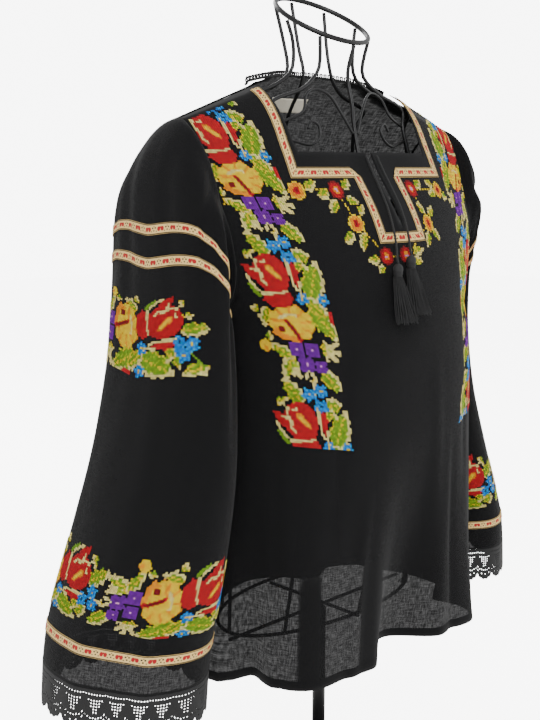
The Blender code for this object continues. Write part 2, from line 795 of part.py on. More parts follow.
for old in list(bpy.data.objects):
    bpy.data.objects.remove(old, do_unlink=True)
PARTS = bpy.data.collections.new("embroidered_blouse")
bpy.context.scene.collection.children.link(PARTS)
MATS = {slot: add_material(slot) for slot in MATERIALS}

add_body()
for which, rows, word in ((-1, SLEEVE_RIGHT, "right"), (1, SLEEVE_LEFT, "left")):
    add_sleeve(which, rows, word)
    add_cuff_lace(which, rows, word)
add_neck_lace()
add_label()
add_ties()
add_stand(add_form())
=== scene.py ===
"""Looks of the black voile blouse with cross-stitch flowers on its wire dress form."""

import math

import bmesh
import bpy
import numpy as np
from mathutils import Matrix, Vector


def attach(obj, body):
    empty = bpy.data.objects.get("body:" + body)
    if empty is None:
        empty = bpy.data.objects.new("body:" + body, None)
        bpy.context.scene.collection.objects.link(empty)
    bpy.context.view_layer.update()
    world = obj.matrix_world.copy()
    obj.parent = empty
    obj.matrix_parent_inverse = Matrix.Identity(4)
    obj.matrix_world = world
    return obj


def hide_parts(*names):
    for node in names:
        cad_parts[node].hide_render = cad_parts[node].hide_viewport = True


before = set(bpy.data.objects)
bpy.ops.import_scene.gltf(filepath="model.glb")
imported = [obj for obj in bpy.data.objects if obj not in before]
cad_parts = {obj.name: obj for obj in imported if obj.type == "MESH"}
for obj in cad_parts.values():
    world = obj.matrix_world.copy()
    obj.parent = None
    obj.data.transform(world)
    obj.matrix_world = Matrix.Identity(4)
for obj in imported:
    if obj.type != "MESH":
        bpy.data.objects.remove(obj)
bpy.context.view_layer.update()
RNG = np.random.default_rng(7)

# Sizes shared with the solids, in metres
HEM = 0.220
SHOULDER_X = 0.190
NECK_X = 0.105
RIBBON_X = 0.1245
SEAM_LEAN = 0.12
NECK_FRONT = 0.569
SLIT_X = 0.0035
SLIT_END = 0.490
UNDERARM = 0.395
ROUND = 2.4
CLOTH = 0.0005
LACE_DROP = 0.043
SCALLOPS = 22
WIRE = 0.0021
SEAM_GAP = 0.0003
RIBBON_WIDE, RIBBON_GAP, RIBBON_THICK = 0.0112, 0.0002, 0.0006
LACE_CELLS = 8
HOOP_H = 0.030
# Repeat of the ribbon's woven pattern, and the size of one stitch in each place
MOTIF = 0.0172
PITCH = 0.00193
BAND_PITCH, BAND_STEP = 0.00209, 0.00203
ROUND_PITCH = 0.00217
UPPER_PITCH = 0.00242
# The two edges of the neck ribbon: at the straps, under the neck, beside the slit and at its foot
STRAP_X, YOKE_H = (0.1135, 0.1245), (0.5525, 0.5415)
SLIT_FRAME_X, FOOT_H = (0.0385, 0.0275), (0.4725, 0.4835)
# Heights at which the flowers start and end, of one rose, and the width of the garland
BAND_TOP, BAND_ROSE, BAND_END = 0.6290, 0.4635, 0.2560
CUFF_FLOWERS, UPPER_FLOWERS = (0.178, 0.104), (0.423, 0.345)
GARLAND_X = 0.1355

DEPTHS = np.array([
    # drop below the shoulder line, front, back
    (0.000, 0.0000, 0.0000), (0.004, 0.0150, 0.0170), (0.015, 0.0300, 0.0360),
    (0.035, 0.0460, 0.0540), (0.060, 0.0600, 0.0680), (0.090, 0.0760, 0.0800),
    (0.130, 0.0960, 0.0930), (0.200, 0.1240, 0.1060), (0.260, 0.1400, 0.1100),
    (0.320, 0.1460, 0.1110), (0.420, 0.1440, 0.1130), (0.540, 0.1390, 0.1250),
    (0.690, 0.1370, 0.1380),
])
WIDTHS = np.array([
    # height above the hem, ring, edge of the panel
    (0.000, 0.205, 0.205), (0.120, 0.200, 0.200), (0.270, 0.195, 0.195),
    (0.395, 0.190, 0.190), (0.415, 0.203, 0.190), (0.450, 0.228, 0.190),
    (0.490, 0.250, 0.190), (0.560, 0.262, 0.190), (0.680, 0.265, 0.190),
])
FRONT_FOLDS = [
    # place across, half width, depth at the hem, height where it fades
    (0.03, 0.17, -0.050, 0.27), (0.40, 0.17, 0.016, 0.26), (-0.42, 0.19, 0.012, 0.28),
    (0.68, 0.15, -0.034, 0.24), (-0.72, 0.16, -0.030, 0.26),
]
BACK_FOLDS = [
    # place across, half width, depth at the hem, height where it fades
    (0.52, 0.20, 0.022, 0.34), (-0.52, 0.20, 0.020, 0.34), (0.06, 0.18, 0.024, 0.36),
    (-0.26, 0.14, -0.020, 0.28), (0.30, 0.13, -0.018, 0.28),
]
# Soft creases too fine for the solids
FRONT_CREASES = [
    # place across, half width, depth, lowest height, highest height
    (-0.58, 0.040, -0.0030, -0.10, 0.30), (-0.20, 0.045, 0.0030, -0.10, 0.22),
    (0.24, 0.040, -0.0030, -0.10, 0.26), (0.52, 0.035, 0.0026, -0.10, 0.30),
    (-0.86, 0.050, -0.0050, 0.10, 0.44), (-0.93, 0.040, 0.0040, 0.22, 0.46),
    (0.88, 0.050, -0.0050, 0.12, 0.44), (-0.33, 0.060, -0.0020, 0.12, 0.42),
    (0.38, 0.050, -0.0022, 0.16, 0.46), (0.10, 0.050, 0.0018, 0.10, 0.36),
]
BACK_CREASES = [
    # place across, half width, depth, lowest height, highest height
    (-0.60, 0.050, -0.0040, -0.10, 0.40), (-0.12, 0.050, 0.0040, -0.10, 0.34),
    (0.20, 0.045, -0.0038, -0.10, 0.42), (0.66, 0.050, 0.0034, -0.10, 0.32),
    (-0.88, 0.050, -0.0050, 0.10, 0.46), (0.88, 0.050, -0.0050, 0.12, 0.44),
    (0.42, 0.060, 0.0024, 0.16, 0.50), (-0.36, 0.060, -0.0024, 0.20, 0.52),
]
SLEEVE_RIGHT = np.array([
    # outer x, outer h, inner x, inner h, centre y, half depth, lift
    (0.2235, 0.598, 0.1960, 0.394, 0.000, 0.061, 0.000),
    (0.2345, 0.585, 0.1980, 0.391, 0.000, 0.067, 0.006),
    (0.2455, 0.565, 0.1995, 0.387, -0.002, 0.073, 0.014),
    (0.2540, 0.5385, 0.2015, 0.381, -0.004, 0.079, 0.022),
    (0.2600, 0.503, 0.2035, 0.373, -0.006, 0.082, 0.028),
    (0.2640, 0.463, 0.2050, 0.360, -0.008, 0.084, 0.030),
    (0.2710, 0.413, 0.2065, 0.340, -0.012, 0.087, 0.028),
    (0.2850, 0.343, 0.2080, 0.300, -0.017, 0.091, 0.020),
    (0.3080, 0.263, 0.2090, 0.240, -0.019, 0.095, 0.010),
    (0.3340, 0.183, 0.2100, 0.172, -0.012, 0.098, 0.004),
    (0.3520, 0.118, 0.2110, 0.110, 0.000, 0.099, 0.000),
    (0.3610, 0.080, 0.2120, 0.074, 0.006, 0.098, 0.000),
    (0.3680, 0.043, 0.2125, 0.040, 0.009, 0.096, 0.000),
])
SLEEVE_LEFT = np.array([
    # outer x, outer h, inner x, inner h, centre y, half depth, lift
    (0.2225, 0.598, 0.1960, 0.394, 0.002, 0.061, 0.000),
    (0.2320, 0.584, 0.1980, 0.391, 0.006, 0.067, 0.006),
    (0.2405, 0.564, 0.1995, 0.387, 0.012, 0.072, 0.014),
    (0.2465, 0.5385, 0.2015, 0.381, 0.019, 0.076, 0.022),
    (0.2500, 0.503, 0.2035, 0.373, 0.026, 0.078, 0.028),
    (0.2520, 0.463, 0.2050, 0.360, 0.033, 0.080, 0.030),
    (0.2570, 0.413, 0.2065, 0.340, 0.042, 0.083, 0.028),
    (0.2700, 0.343, 0.2090, 0.300, 0.052, 0.087, 0.020),
    (0.2920, 0.263, 0.2130, 0.240, 0.056, 0.091, 0.010),
    (0.3190, 0.183, 0.2180, 0.172, 0.050, 0.093, 0.004),
    (0.3390, 0.118, 0.2220, 0.110, 0.040, 0.093, 0.000),
    (0.3490, 0.080, 0.2240, 0.074, 0.035, 0.092, 0.000),
    (0.3560, 0.043, 0.2250, 0.040, 0.033, 0.090, 0.000),
])
SLEEVE_FOLDS = [
    # angle in degrees, half width, depth at the cuff
    (35, 34, -0.007), (95, 30, 0.005), (150, 28, -0.006), (215, 34, -0.007), (300, 36, -0.006),
]
SLEEVE_CREASES = [
    # angle in degrees, half width, depth, first section, last section
    (62, 13, -0.0070, 1.0, 8.0), (84, 11, 0.0052, 1.5, 7.0), (104, 12, -0.0080, 1.0, 9.0),
    (126, 12, -0.0040, 3.0, 11.0), (20, 14, -0.0040, 2.0, 8.0), (-24, 14, -0.0040, 1.5, 9.0),
    (-58, 12, 0.0030, 2.0, 8.0), (-84, 13, -0.0045, 1.0, 10.0), (-118, 12, -0.0040, 3.0, 12.0),
    (12, 12, 0.0026, 7.0, 14.0), (58, 12, 0.0030, 7.5, 14.0), (-40, 14, 0.0030, 6.5, 14.0),
    (160, 14, -0.0030, 5.0, 12.0),
]
SIDES = ((-1, SLEEVE_RIGHT, "right"), (1, SLEEVE_LEFT, "left"))

# Heights of the ribbon edges, read at the outer edge of a sleeve
RIBBONS = [("upper_ribbon", 0.4965, 0.4855), ("middle_ribbon", 0.4635, 0.4525),
           ("lower_ribbon", 0.0855, 0.0745)]

FORM_RINGS = np.array([
    # height above the hem, half width, front depth, back depth
    (0.690, 0.050, 0.046, 0.040), (0.664, 0.050, 0.038, 0.032), (0.650, 0.062, 0.037, 0.034),
    (0.636, 0.094, 0.040, 0.042), (0.621, 0.154, 0.044, 0.052), (0.598, 0.146, 0.047, 0.062),
    (0.550, 0.158, 0.060, 0.078), (0.480, 0.158, 0.094, 0.090), (0.400, 0.152, 0.122, 0.090),
    (0.280, 0.120, 0.092, 0.074), (0.150, 0.144, 0.088, 0.090), (0.030, 0.150, 0.064, 0.086),
])


def linear(code):
    """sRGB hex to linear red, green and blue."""
    out = []
    for k in (0, 2, 4):
        v = int(code[k:k + 2], 16) / 255
        out.append(v / 12.92 if v <= 0.04045 else ((v + 0.055) / 1.055) ** 2.4)
    return out


def fill(tree, node, **values):
    """Set a shader node: a value is a setting, or a number or a link for an input."""
    for key, value in values.items():
        name = key.replace("_", " ")
        if name not in node.inputs:
            setattr(node, key, value)
        elif isinstance(value, bpy.types.NodeSocket):
            tree.links.new(value, node.inputs[name])
        else:
            node.inputs[name].default_value = value
    return node


def add(tree, kind, **values):
    return fill(tree, tree.nodes.new("ShaderNode" + kind), **values)


def calc(tree, kind, *values, **more):
    """The result of a math node."""
    node = add(tree, "Math", operation=kind, **more)
    for k, value in enumerate(values):
        if isinstance(value, bpy.types.NodeSocket):
            tree.links.new(value, node.inputs[k])
        else:
            node.inputs[k].default_value = value
    return node.outputs[0]


def blend(tree, one, two, factor):
    """A colour between two, each a hex code or a link."""
    one, two = [(*linear(c), 1) if isinstance(c, str) else c for c in (one, two)]
    return add(tree, "Mix", data_type="RGBA", A=one, B=two, Factor=factor).outputs["Result"]


def noise(tree, where, scale, detail, stretch=(1, 1, 1), roughness=0.5):
    move = add(tree, "Mapping", Vector=where, Scale=stretch)
    return add(tree, "TexNoise", Vector=move.outputs["Vector"], Scale=scale, Detail=detail,
               Roughness=roughness).outputs["Fac"]


def relief(tree, height, strength, distance):
    return add(tree, "Bump", Strength=strength, Distance=distance, Height=height).outputs["Normal"]


def for_camera(tree, low, high):
    """The high value for what the camera sees straight on, and the low one for light."""
    path = add(tree, "LightPath")
    return add(tree, "MapRange", To_Min=low, To_Max=high, Value=path.outputs["Is Camera Ray"]).outputs[0]


def new_material(name, **values):
    """A material, its node tree and its main shader."""
    mat = bpy.data.materials.new(name)
    mat.use_nodes = True
    tree = mat.node_tree
    return mat, tree, fill(tree, tree.nodes["Principled BSDF"], **values)


def voile_material(name, clear, tint):
    """Black cotton voile: thin yarns with slubs, partly see-through."""
    mat, tree, skin = new_material(name, Roughness=0.88, Specular_IOR_Level=0.10, Sheen_Weight=0.03,
                                   Sheen_Roughness=0.55)
    where = add(tree, "Attribute", attribute_name="cloth").outputs["Vector"]
    layers = add(tree, "SeparateXYZ", Vector=where).outputs["Z"]
    warp = noise(tree, where, 1.0, 2.0, (1000.0, 110.0, 0.0), 0.6)
    weft = noise(tree, where, 1.0, 2.0, (110.0, 1000.0, 0.0), 0.6)
    both = calc(tree, "ADD", warp, weft)
    # yarns part more where both streaks are high, and each layer lets less through
    part = add(tree, "MapRange", From_Min=0.80, From_Max=1.22, To_Min=0.50, To_Max=1.55,
               Value=both).outputs[0]
    through = calc(tree, "MULTIPLY", calc(tree, "POWER", clear, layers), part, use_clamp=True)
    cover = calc(tree, "SUBTRACT", 1.0, through, use_clamp=True)
    fill(tree, skin, Base_Color=blend(tree, *tint, part), Normal=relief(tree, both, 0.25, 0.0004))
    mix = add(tree, "MixShader", Fac=cover)
    tree.links.new(add(tree, "BsdfTransparent").outputs[0], mix.inputs[1])
    tree.links.new(skin.outputs[0], mix.inputs[2])
    fill(tree, tree.nodes["Material Output"], Surface=mix.outputs[0])
    return mat


def plain_material(name, low, high, rough, scale, metallic=0.0, bump=0.2, sheen=0.0):
    """A surface of one material whose tone and relief vary a little."""
    mat, tree, skin = new_material(name, Roughness=rough, Metallic=metallic, Sheen_Weight=sheen)
    tone = noise(tree, add(tree, "TexCoord").outputs["Object"], scale, 3.0)
    fill(tree, skin, Base_Color=blend(tree, low, high, tone), Normal=relief(tree, tone, bump, 0.0002))
    return mat


def thread_material(name):
    """Mercerised embroidery cotton; each stitch carries its own colour."""
    mat, tree, skin = new_material(name, Roughness=0.62, Specular_IOR_Level=0.22)
    grain = noise(tree, add(tree, "TexCoord").outputs["Object"], 2200.0, 1.0)
    level = add(tree, "MapRange", To_Min=0.60, To_Max=0.90, Value=grain).outputs[0]
    own = add(tree, "Attribute", attribute_name="thread").outputs["Color"]
    strong = add(tree, "HueSaturation", Saturation=1.30, Value=level, Color=own)
    fill(tree, skin, Base_Color=strong.outputs["Color"])
    return mat


def ribbon_material(name):
    """Cotton ribbon woven with red twin lobes, dark dots and a fine dark edge."""
    mat, tree, skin = new_material(name, Roughness=0.78, Specular_IOR_Level=0.25)
    where = add(tree, "Attribute", attribute_name="cloth").outputs["Vector"]
    split = add(tree, "SeparateXYZ", Vector=where)
    # distance from the middle of a motif and place across, in millimetres, in steps of one yarn
    turn = calc(tree, "WRAP", split.outputs["X"], MOTIF, 0.0)
    far = calc(tree, "ABSOLUTE", calc(tree, "SUBTRACT", turn, MOTIF / 2))
    far = calc(tree, "SNAP", calc(tree, "ADD", calc(tree, "MULTIPLY", far, 1000.0), 0.15), 0.42)
    wide = calc(tree, "MULTIPLY", calc(tree, "SUBTRACT", split.outputs["Y"], 0.5), 11.0)
    wide = calc(tree, "SNAP", calc(tree, "ADD", wide, 0.25), 0.50)
    spot = add(tree, "CombineXYZ", X=far, Y=wide).outputs[0]

    def marks(*places):
        """1 inside any of the ovals: centre and radius, each along and across."""
        total = None
        for cx, cy, rx, ry in places:
            move = add(tree, "Mapping", Vector=spot, Location=(-cx / rx, -cy / ry, 0),
                       Scale=(1 / rx, 1 / ry, 0))
            size = add(tree, "VectorMath", operation="LENGTH", Vector=move.outputs["Vector"])
            inside = calc(tree, "LESS_THAN", size.outputs["Value"], 1.0)
            total = inside if total is None else calc(tree, "MAXIMUM", total, inside)
        return total

    half = MOTIF * 500
    red = marks((2.1, 0.0, 1.9, 2.5), (0.2, -1.3, 1.0, 0.9))
    dark = marks((half, 1.6, 1.0, 0.85), (half - 1.9, -1.2, 1.0, 0.85), (5.0, 2.2, 0.7, 0.6),
                 (half, -2.6, 0.7, 0.6))
    out = calc(tree, "ABSOLUTE", wide)
    edge = calc(tree, "MULTIPLY", calc(tree, "GREATER_THAN", out, 4.2), calc(tree, "LESS_THAN", out, 5.05))
    grain = noise(tree, where, 1.0, 1.0, (2400.0, 26.0, 1.0))
    colour = blend(tree, "c09a52", "e6c98a", grain)
    colour = blend(tree, colour, "98141c", red)
    colour = blend(tree, colour, "1c1916", calc(tree, "MAXIMUM", dark, edge))
    fill(tree, skin, Base_Color=colour, Normal=relief(tree, grain, 0.6, 0.0003))
    return mat


VOILE = voile_material("cotton_voile", 0.078, ("070708", "0e0e0f"))
LACE = plain_material("cotton_crochet", "060607", "111112", 0.85, 1500, bump=0.6, sheen=0.02)
RIBBON = ribbon_material("woven_ribbon")
TAPE = plain_material("satin_label_tape", "d8d0bc", "ece6d6", 0.55, 700, bump=0.2)
CORD = plain_material("cotton_cord", "060607", "131314", 0.78, 1600, bump=0.6, sheen=0.03)
PAINT = plain_material("black_painted_wire", "0e0e0f", "19191a", 0.38, 160, metallic=0.4, bump=0.15)
THREAD = thread_material("embroidery_cotton")


def bell(q):
    q = np.clip(np.abs(q), 0, 1)
    return 0.5 + 0.5 * np.cos(np.pi * q)


def shoulder_h(x):
    return 0.680 - 0.36 * np.abs(x)


def back_neck_h(x):
    return shoulder_h(NECK_X) + 0.0145 * (1 - (x / NECK_X) ** 2)


def seam_x(h):
    """Half width of the body at the armhole seam."""
    return SHOULDER_X + SEAM_LEAN * np.maximum(0.0, np.asarray(h, float) - UNDERARM)


def spread(x, h):
    """Columns beyond the neck ribbon spread toward the dropped shoulder."""
    past = np.maximum(0.0, np.abs(x) - RIBBON_X) / (SHOULDER_X - RIBBON_X)
    return x + np.sign(x) * past * (seam_x(h) - SHOULDER_X)


def top_h(x):
    """Height of the shoulder line for a column of the panel."""
    h = shoulder_h(x)
    for _ in range(8):
        h = shoulder_h(spread(x, h))
    return h


def rows_at(rows, col, v):
    order = np.argsort(rows[:, 0])
    return np.interp(v, rows[order, 0], rows[order, col])


def span(h, low, high):
    """Smooth rise and fall between two heights."""
    f = np.clip((h - low) / (high - low), 0, 1)
    return np.sin(np.pi * f) ** 0.8


def curve(a, b, c, d, f):
    """Smooth curve from b to c, bent by the points before and after."""
    return 0.5 * (2 * b + (c - a) * f + (2 * a - 5 * b + 4 * c - d) * f * f
                  + (3 * b - a - 3 * c + d) * f ** 3)


def run_of(points):
    """Length along a row of points."""
    return np.concatenate([[0], np.cumsum(np.linalg.norm(np.diff(points, axis=0), axis=-1))])


def off_by(phi, at):
    """Degrees from a place on a sleeve to angles round it."""
    return (np.degrees(phi) - at + 180) % 360 - 180


def body(side, c, h):
    """Points on the middle of a body panel: side -1 front, 1 back; c across."""
    c, h = np.broadcast_arrays(np.asarray(c, float), np.asarray(h, float))
    return body_at(side, spread(rows_at(WIDTHS, 2, h) * c, h), h)


def body_at(side, x, h):
    """Points on the middle of a body panel at a given x."""
    edge, ring = rows_at(WIDTHS, 2, h), rows_at(WIDTHS, 1, h)
    c = np.clip(x / edge, -1, 1)
    s = np.sign(c) * np.arcsin(np.abs(c) ** (ROUND / 2)) * 2 / np.pi
    drop = np.sqrt(np.clip(shoulder_h(x) - h, 0, None))
    y = np.interp(drop, np.sqrt(DEPTHS[:, 0]), DEPTHS[:, 1 if side < 0 else 2])
    if side < 0:
        y = y - 0.018 * np.exp(-(x / 0.075) ** 2) * np.exp(-((h - 0.565) / 0.05) ** 2)
    shape = np.clip(1 - np.abs(x / ring) ** ROUND, 0, None) ** (1 / ROUND)
    nx = np.sign(x) * np.abs(x / ring) ** (ROUND - 1) / ring
    ny = shape ** (ROUND - 1) / np.maximum(y, 0.02)
    ln = np.hypot(nx, ny)
    push = np.zeros_like(x)
    for place, width, amount, top in (FRONT_FOLDS if side < 0 else BACK_FOLDS):
        push = push + amount * np.clip(1 - h / top, 0, None) ** 1.4 * bell((s - place) / width)
    for place, width, amount, low, high in (FRONT_CREASES if side < 0 else BACK_CREASES):
        drift = place + 0.03 * np.sin(9 * h + 7 * place)
        push = push + amount * span(h, low, high) * bell((s - drift) / width)
    return np.stack([x + push * nx / ln, side * (y * shape + push * ny / ln), HEM + h], -1)


def arm_loop(phi):
    """Points on the armhole seam; angle 0 is at the shoulder."""
    top = top_h(SHOULDER_X)
    h = (top + UNDERARM) / 2 + (top - UNDERARM) / 2 * np.cos(phi)
    h = np.clip(h, UNDERARM, top)
    front, back = body(-1, np.ones_like(h), h), body(1, np.ones_like(h), h)
    y = np.where(np.sin(phi) >= 0, front[..., 1], back[..., 1])
    return np.stack([seam_x(h), y, HEM + h], -1)


def sleeve_ring(rows, i, phi):
    """Points on one section of a sleeve; section 0 is the armhole."""
    i = int(min(max(i, 0), len(rows)))
    if i == 0:
        return arm_loop(phi) + np.array([SEAM_GAP, 0, 0])
    ox, oh, ix, ih, cy, half, lift = rows[i - 1]
    cs, sn = [np.sign(w) * np.abs(w) ** (2 / 2.2) for w in (np.cos(phi), np.sin(phi))]
    push = np.zeros_like(phi)
    for at, width, amount in SLEEVE_FOLDS:
        push = push + amount * bell(off_by(phi, at) / width) * max(0.0, (i - 5) / 8) ** 1.3
    grow = 1 + push / half
    mid = np.array([(ox + ix) / 2, cy, HEM + (oh + ih) / 2])
    out = np.stack([(ox - ix) / 2 * cs * grow, -half * sn * grow, (oh - ih) / 2 * cs], -1) + mid
    out[..., 2] += lift * np.abs(sn) ** 1.5
    return out


def sleeve(which, rows, v, phi):
    """Points on a sleeve; v counts sections down from the armhole."""
    v, phi = np.broadcast_arrays(np.asarray(v, float), np.asarray(phi, float))
    out = np.zeros(v.shape + (3,))
    cell = np.clip(v.astype(int), 0, len(rows) - 1)
    for i in np.unique(cell):
        m = cell == i
        rings = [sleeve_ring(rows, i + k, phi[m]) for k in (-1, 0, 1, 2)]
        out[m] = curve(*rings, (v[m] - i)[:, None])
    push = np.zeros_like(v)
    for at, width, amount, low, high in SLEEVE_CREASES:
        bend = at + 5 * np.sin(0.9 * v + at)
        push = push + amount * bell(off_by(phi, bend) / width) * span(v, low, high)
    out[..., 0] += push * np.cos(phi) * 0.6
    out[..., 1] += -push * np.sin(phi)
    out[..., 0] = np.maximum(out[..., 0], seam_x(out[..., 2] - HEM) + SEAM_GAP)
    out[..., 0] *= which
    return out


def sleeve_v(rows, height):
    """Section at which the outer edge of a sleeve is at a height."""
    lo, hi = 1.0, float(len(rows))
    for _ in range(40):
        mid = (lo + hi) / 2
        z = sleeve(1, rows, np.array([mid]), np.array([0.0]))[0, 2]
        lo, hi = (mid, hi) if z - HEM > height else (lo, mid)
    return (lo + hi) / 2


def frames(surface, a, b, step_a, step_b, outward):
    """Points and outward normals of a surface at (a, b)."""
    p = surface(a, b)
    ta = surface(a + step_a, b) - surface(a - step_a, b)
    tb = surface(a, b + step_b) - surface(a, b - step_b)
    n = np.cross(ta, tb)
    n /= np.maximum(np.linalg.norm(n, axis=-1, keepdims=True), 1e-12)
    flip = np.sign(np.sum(n * outward(p), -1, keepdims=True))
    return p, n * np.where(flip == 0, 1, flip)


def body_frames(side, surface, a, b):
    def outward(p):
        x, y = p[..., 0], p[..., 1]
        return np.stack([x * 0.8, side * (np.abs(y) + 0.05), np.full_like(x, 0.02)], -1)
    return frames(surface, a, b, 0.0008, 0.0008, outward)


def front_frames(x, h):
    """Points and outward normals on the front panel at places across and up."""
    def surface(a, b):
        return body_at(-1, a, np.minimum(b, shoulder_h(a) - 0.0002))
    return body_frames(-1, surface, x, h)


def sleeve_frames(which, rows, v, phi, lift=0.0):
    def surface(a, b):
        return sleeve(which, rows, np.clip(a, 0, len(rows)), b)

    def outward(p):
        return np.stack([which * np.cos(phi) * 0.6, -np.sin(phi), lift * np.cos(phi)], -1)
    return frames(surface, v, phi, 0.01, 0.004, outward)


def add_mesh(name, verts, faces, material, smooth=True, attrs=None, clean=True):
    """A mesh from arrays; faces is a list of index arrays of one width each."""
    mesh = bpy.data.meshes.new(name)
    faces = [np.asarray(f, np.int32) for f in faces if len(f)]
    used = np.unique(np.concatenate([f.ravel() for f in faces]))
    remap = np.full(len(verts), -1, np.int32)
    remap[used] = np.arange(len(used))
    verts = np.asarray(verts)[used]
    loops = np.concatenate([remap[f].ravel() for f in faces])
    sizes = np.concatenate([np.full(len(f), f.shape[1], np.int32) for f in faces])
    mesh.vertices.add(len(verts))
    mesh.vertices.foreach_set("co", verts.astype(np.float32).ravel())
    mesh.loops.add(len(loops))
    mesh.loops.foreach_set("vertex_index", loops)
    mesh.polygons.add(len(sizes))
    mesh.polygons.foreach_set("loop_start", np.concatenate([[0], np.cumsum(sizes)[:-1]]).astype(np.int32))
    mesh.polygons.foreach_set("use_smooth", np.full(len(sizes), smooth))
    for key, (kind, values) in (attrs or {}).items():
        layer = mesh.attributes.new(key, kind, "POINT")
        field = "vector" if kind == "FLOAT_VECTOR" else "color"
        layer.data.foreach_set(field, np.asarray(values)[used].astype(np.float32).ravel())
    mesh.update()
    mesh.validate()
    if clean:
        bm = bmesh.new()
        bm.from_mesh(mesh)
        bmesh.ops.recalc_face_normals(bm, faces=bm.faces)
        bm.to_mesh(mesh)
        bm.free()
    obj = bpy.data.objects.new(name, mesh)
    obj.data.materials.append(material)
    bpy.context.scene.collection.objects.link(obj)
    return obj


def quads(rows, cols, ring_rows=False, ring_cols=False):
    """Faces between the points of a grid, which may close round on itself."""
    wide = cols - (not ring_cols)
    i, j = np.divmod(np.arange((rows - (not ring_rows)) * wide), wide)
    i2, j2 = (i + 1) % rows, (j + 1) % cols
    return np.stack([i * cols + j, i * cols + j2, i2 * cols + j2, i2 * cols + j], -1)


def shell_arrays(p, n, low, high, mask=None, wrap=False):
    """Vertices and faces of a closed thin wall over a grid of points."""
    rows, cols = p.shape[:2]
    if mask is None:
        mask = np.ones((rows - 1, cols - (not wrap)), bool)
    low, high = [np.broadcast_to(edge, (rows, cols))[..., None] for edge in (low, high)]
    verts = np.concatenate([(p + n * high).reshape(-1, 3), (p + n * low).reshape(-1, 3)])
    base = rows * cols
    quad = quads(rows, cols, False, wrap)[mask.ravel()]
    pad = np.pad(mask, ((1, 1), (0, 0)))
    r, c = np.nonzero(pad[:-1] != pad[1:])
    walls = [(r * cols + c, r * cols + (c + 1) % cols)]
    pad = np.pad(mask, ((0, 0), (1, 1)))
    edge = mask != np.roll(mask, 1, axis=1) if wrap else pad[:, :-1] != pad[:, 1:]
    r, c = np.nonzero(edge)
    walls.append((r * cols + c, (r + 1) * cols + c))
    sides = [np.stack([a, b, b + base, a + base], -1) for a, b in walls]
    return verts, [quad, quad[:, ::-1] + base] + sides


def shell(name, p, n, low, high, material, mask=None, wrap=False, cloth=None):
    """A closed thin wall; cloth gives its place along and across, and its layers."""
    attrs = None
    if cloth is not None:
        attrs = {"cloth": ("FLOAT_VECTOR", np.concatenate([cloth.reshape(-1, 3)] * 2))}
    return add_mesh(name, *shell_arrays(p, n, low, high, mask, wrap), material, attrs=attrs)


def between(marks, step):
    """Values from the first mark to the last that hit every mark."""
    out = [marks[0]]
    for a, b in zip(marks, marks[1:]):
        count = max(1, round(abs(b - a) / step))
        out += list(a + (b - a) * np.arange(1, count + 1) / count)
    return np.array(out)


def smooth_route(route, count):
    """Even points on a smooth curve through the route."""
    pts = np.asarray(route, float)
    full = np.vstack([pts[0], pts, pts[-1]])
    f = np.linspace(0, 1, 24, endpoint=False)[:, None]
    fine = np.vstack([curve(*four, f) for four in zip(full, full[1:], full[2:], full[3:])] + [pts[-1:]])
    length = run_of(fine)
    want = np.linspace(0, length[-1], count)
    return np.stack([np.interp(want, length, fine[:, k]) for k in range(3)], -1)


def tube_arrays(points, radius, sides, closed=False):
    """Vertices and faces of a round tube along points."""
    p = np.asarray(points, float)
    count = len(p)
    radius = np.broadcast_to(radius, (count,))
    if closed:
        way = np.roll(p, -1, 0) - np.roll(p, 1, 0)
    else:
        way = np.gradient(p, axis=0)
    way /= np.maximum(np.linalg.norm(way, axis=1, keepdims=True), 1e-12)
    side = np.cross(way[0], [0.13, 0.31, 0.94])
    if np.linalg.norm(side) < 0.3:
        side = np.cross(way[0], [1.0, 0.2, 0.0])
    one = [side / np.linalg.norm(side)]
    for k in range(1, count):
        v = one[-1] - way[k] * np.dot(one[-1], way[k])
        one.append(v / np.linalg.norm(v))
    one = np.array(one)
    two = np.cross(way, one)
    ang = 2 * np.pi * np.arange(sides) / sides
    ring = one[:, None] * np.cos(ang)[None, :, None] + two[:, None] * np.sin(ang)[None, :, None]
    verts = (p[:, None] + ring * radius[:, None, None]).reshape(-1, 3)
    faces = [quads(count, sides, closed, True)]
    if not closed:
        faces += [np.arange(sides)[None, ::-1], (count - 1) * sides + np.arange(sides)[None]]
    return verts, faces


def lathe(profile, sides, centre=(0, 0, 0)):
    """Vertices and faces of a closed turned solid; profile rows are radius and height."""
    ang = 2 * np.pi * np.arange(sides) / sides
    rings = np.array([[(r * math.cos(a), r * math.sin(a), z) for a in ang] for r, z in profile])
    caps = np.stack([np.arange(sides)[::-1], (len(profile) - 1) * sides + np.arange(sides)])
    return rings.reshape(-1, 3) + centre, [quads(len(profile), sides, False, True), caps]


def join_arrays(parts):
    """One list of vertices and faces from many."""
    verts, faces, base = [], {}, 0
    for v, fs in parts:
        verts.append(v)
        for f in fs:
            faces.setdefault(f.shape[1], []).append(f + base)
        base += len(v)
    return np.vstack(verts), [np.vstack(f) for f in faces.values()]


def keep(obj, slot, *nodes):
    """The piece rides on the one body and stands for its solids."""
    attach(obj, "root")
    if nodes:
        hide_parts(*nodes)
    return obj


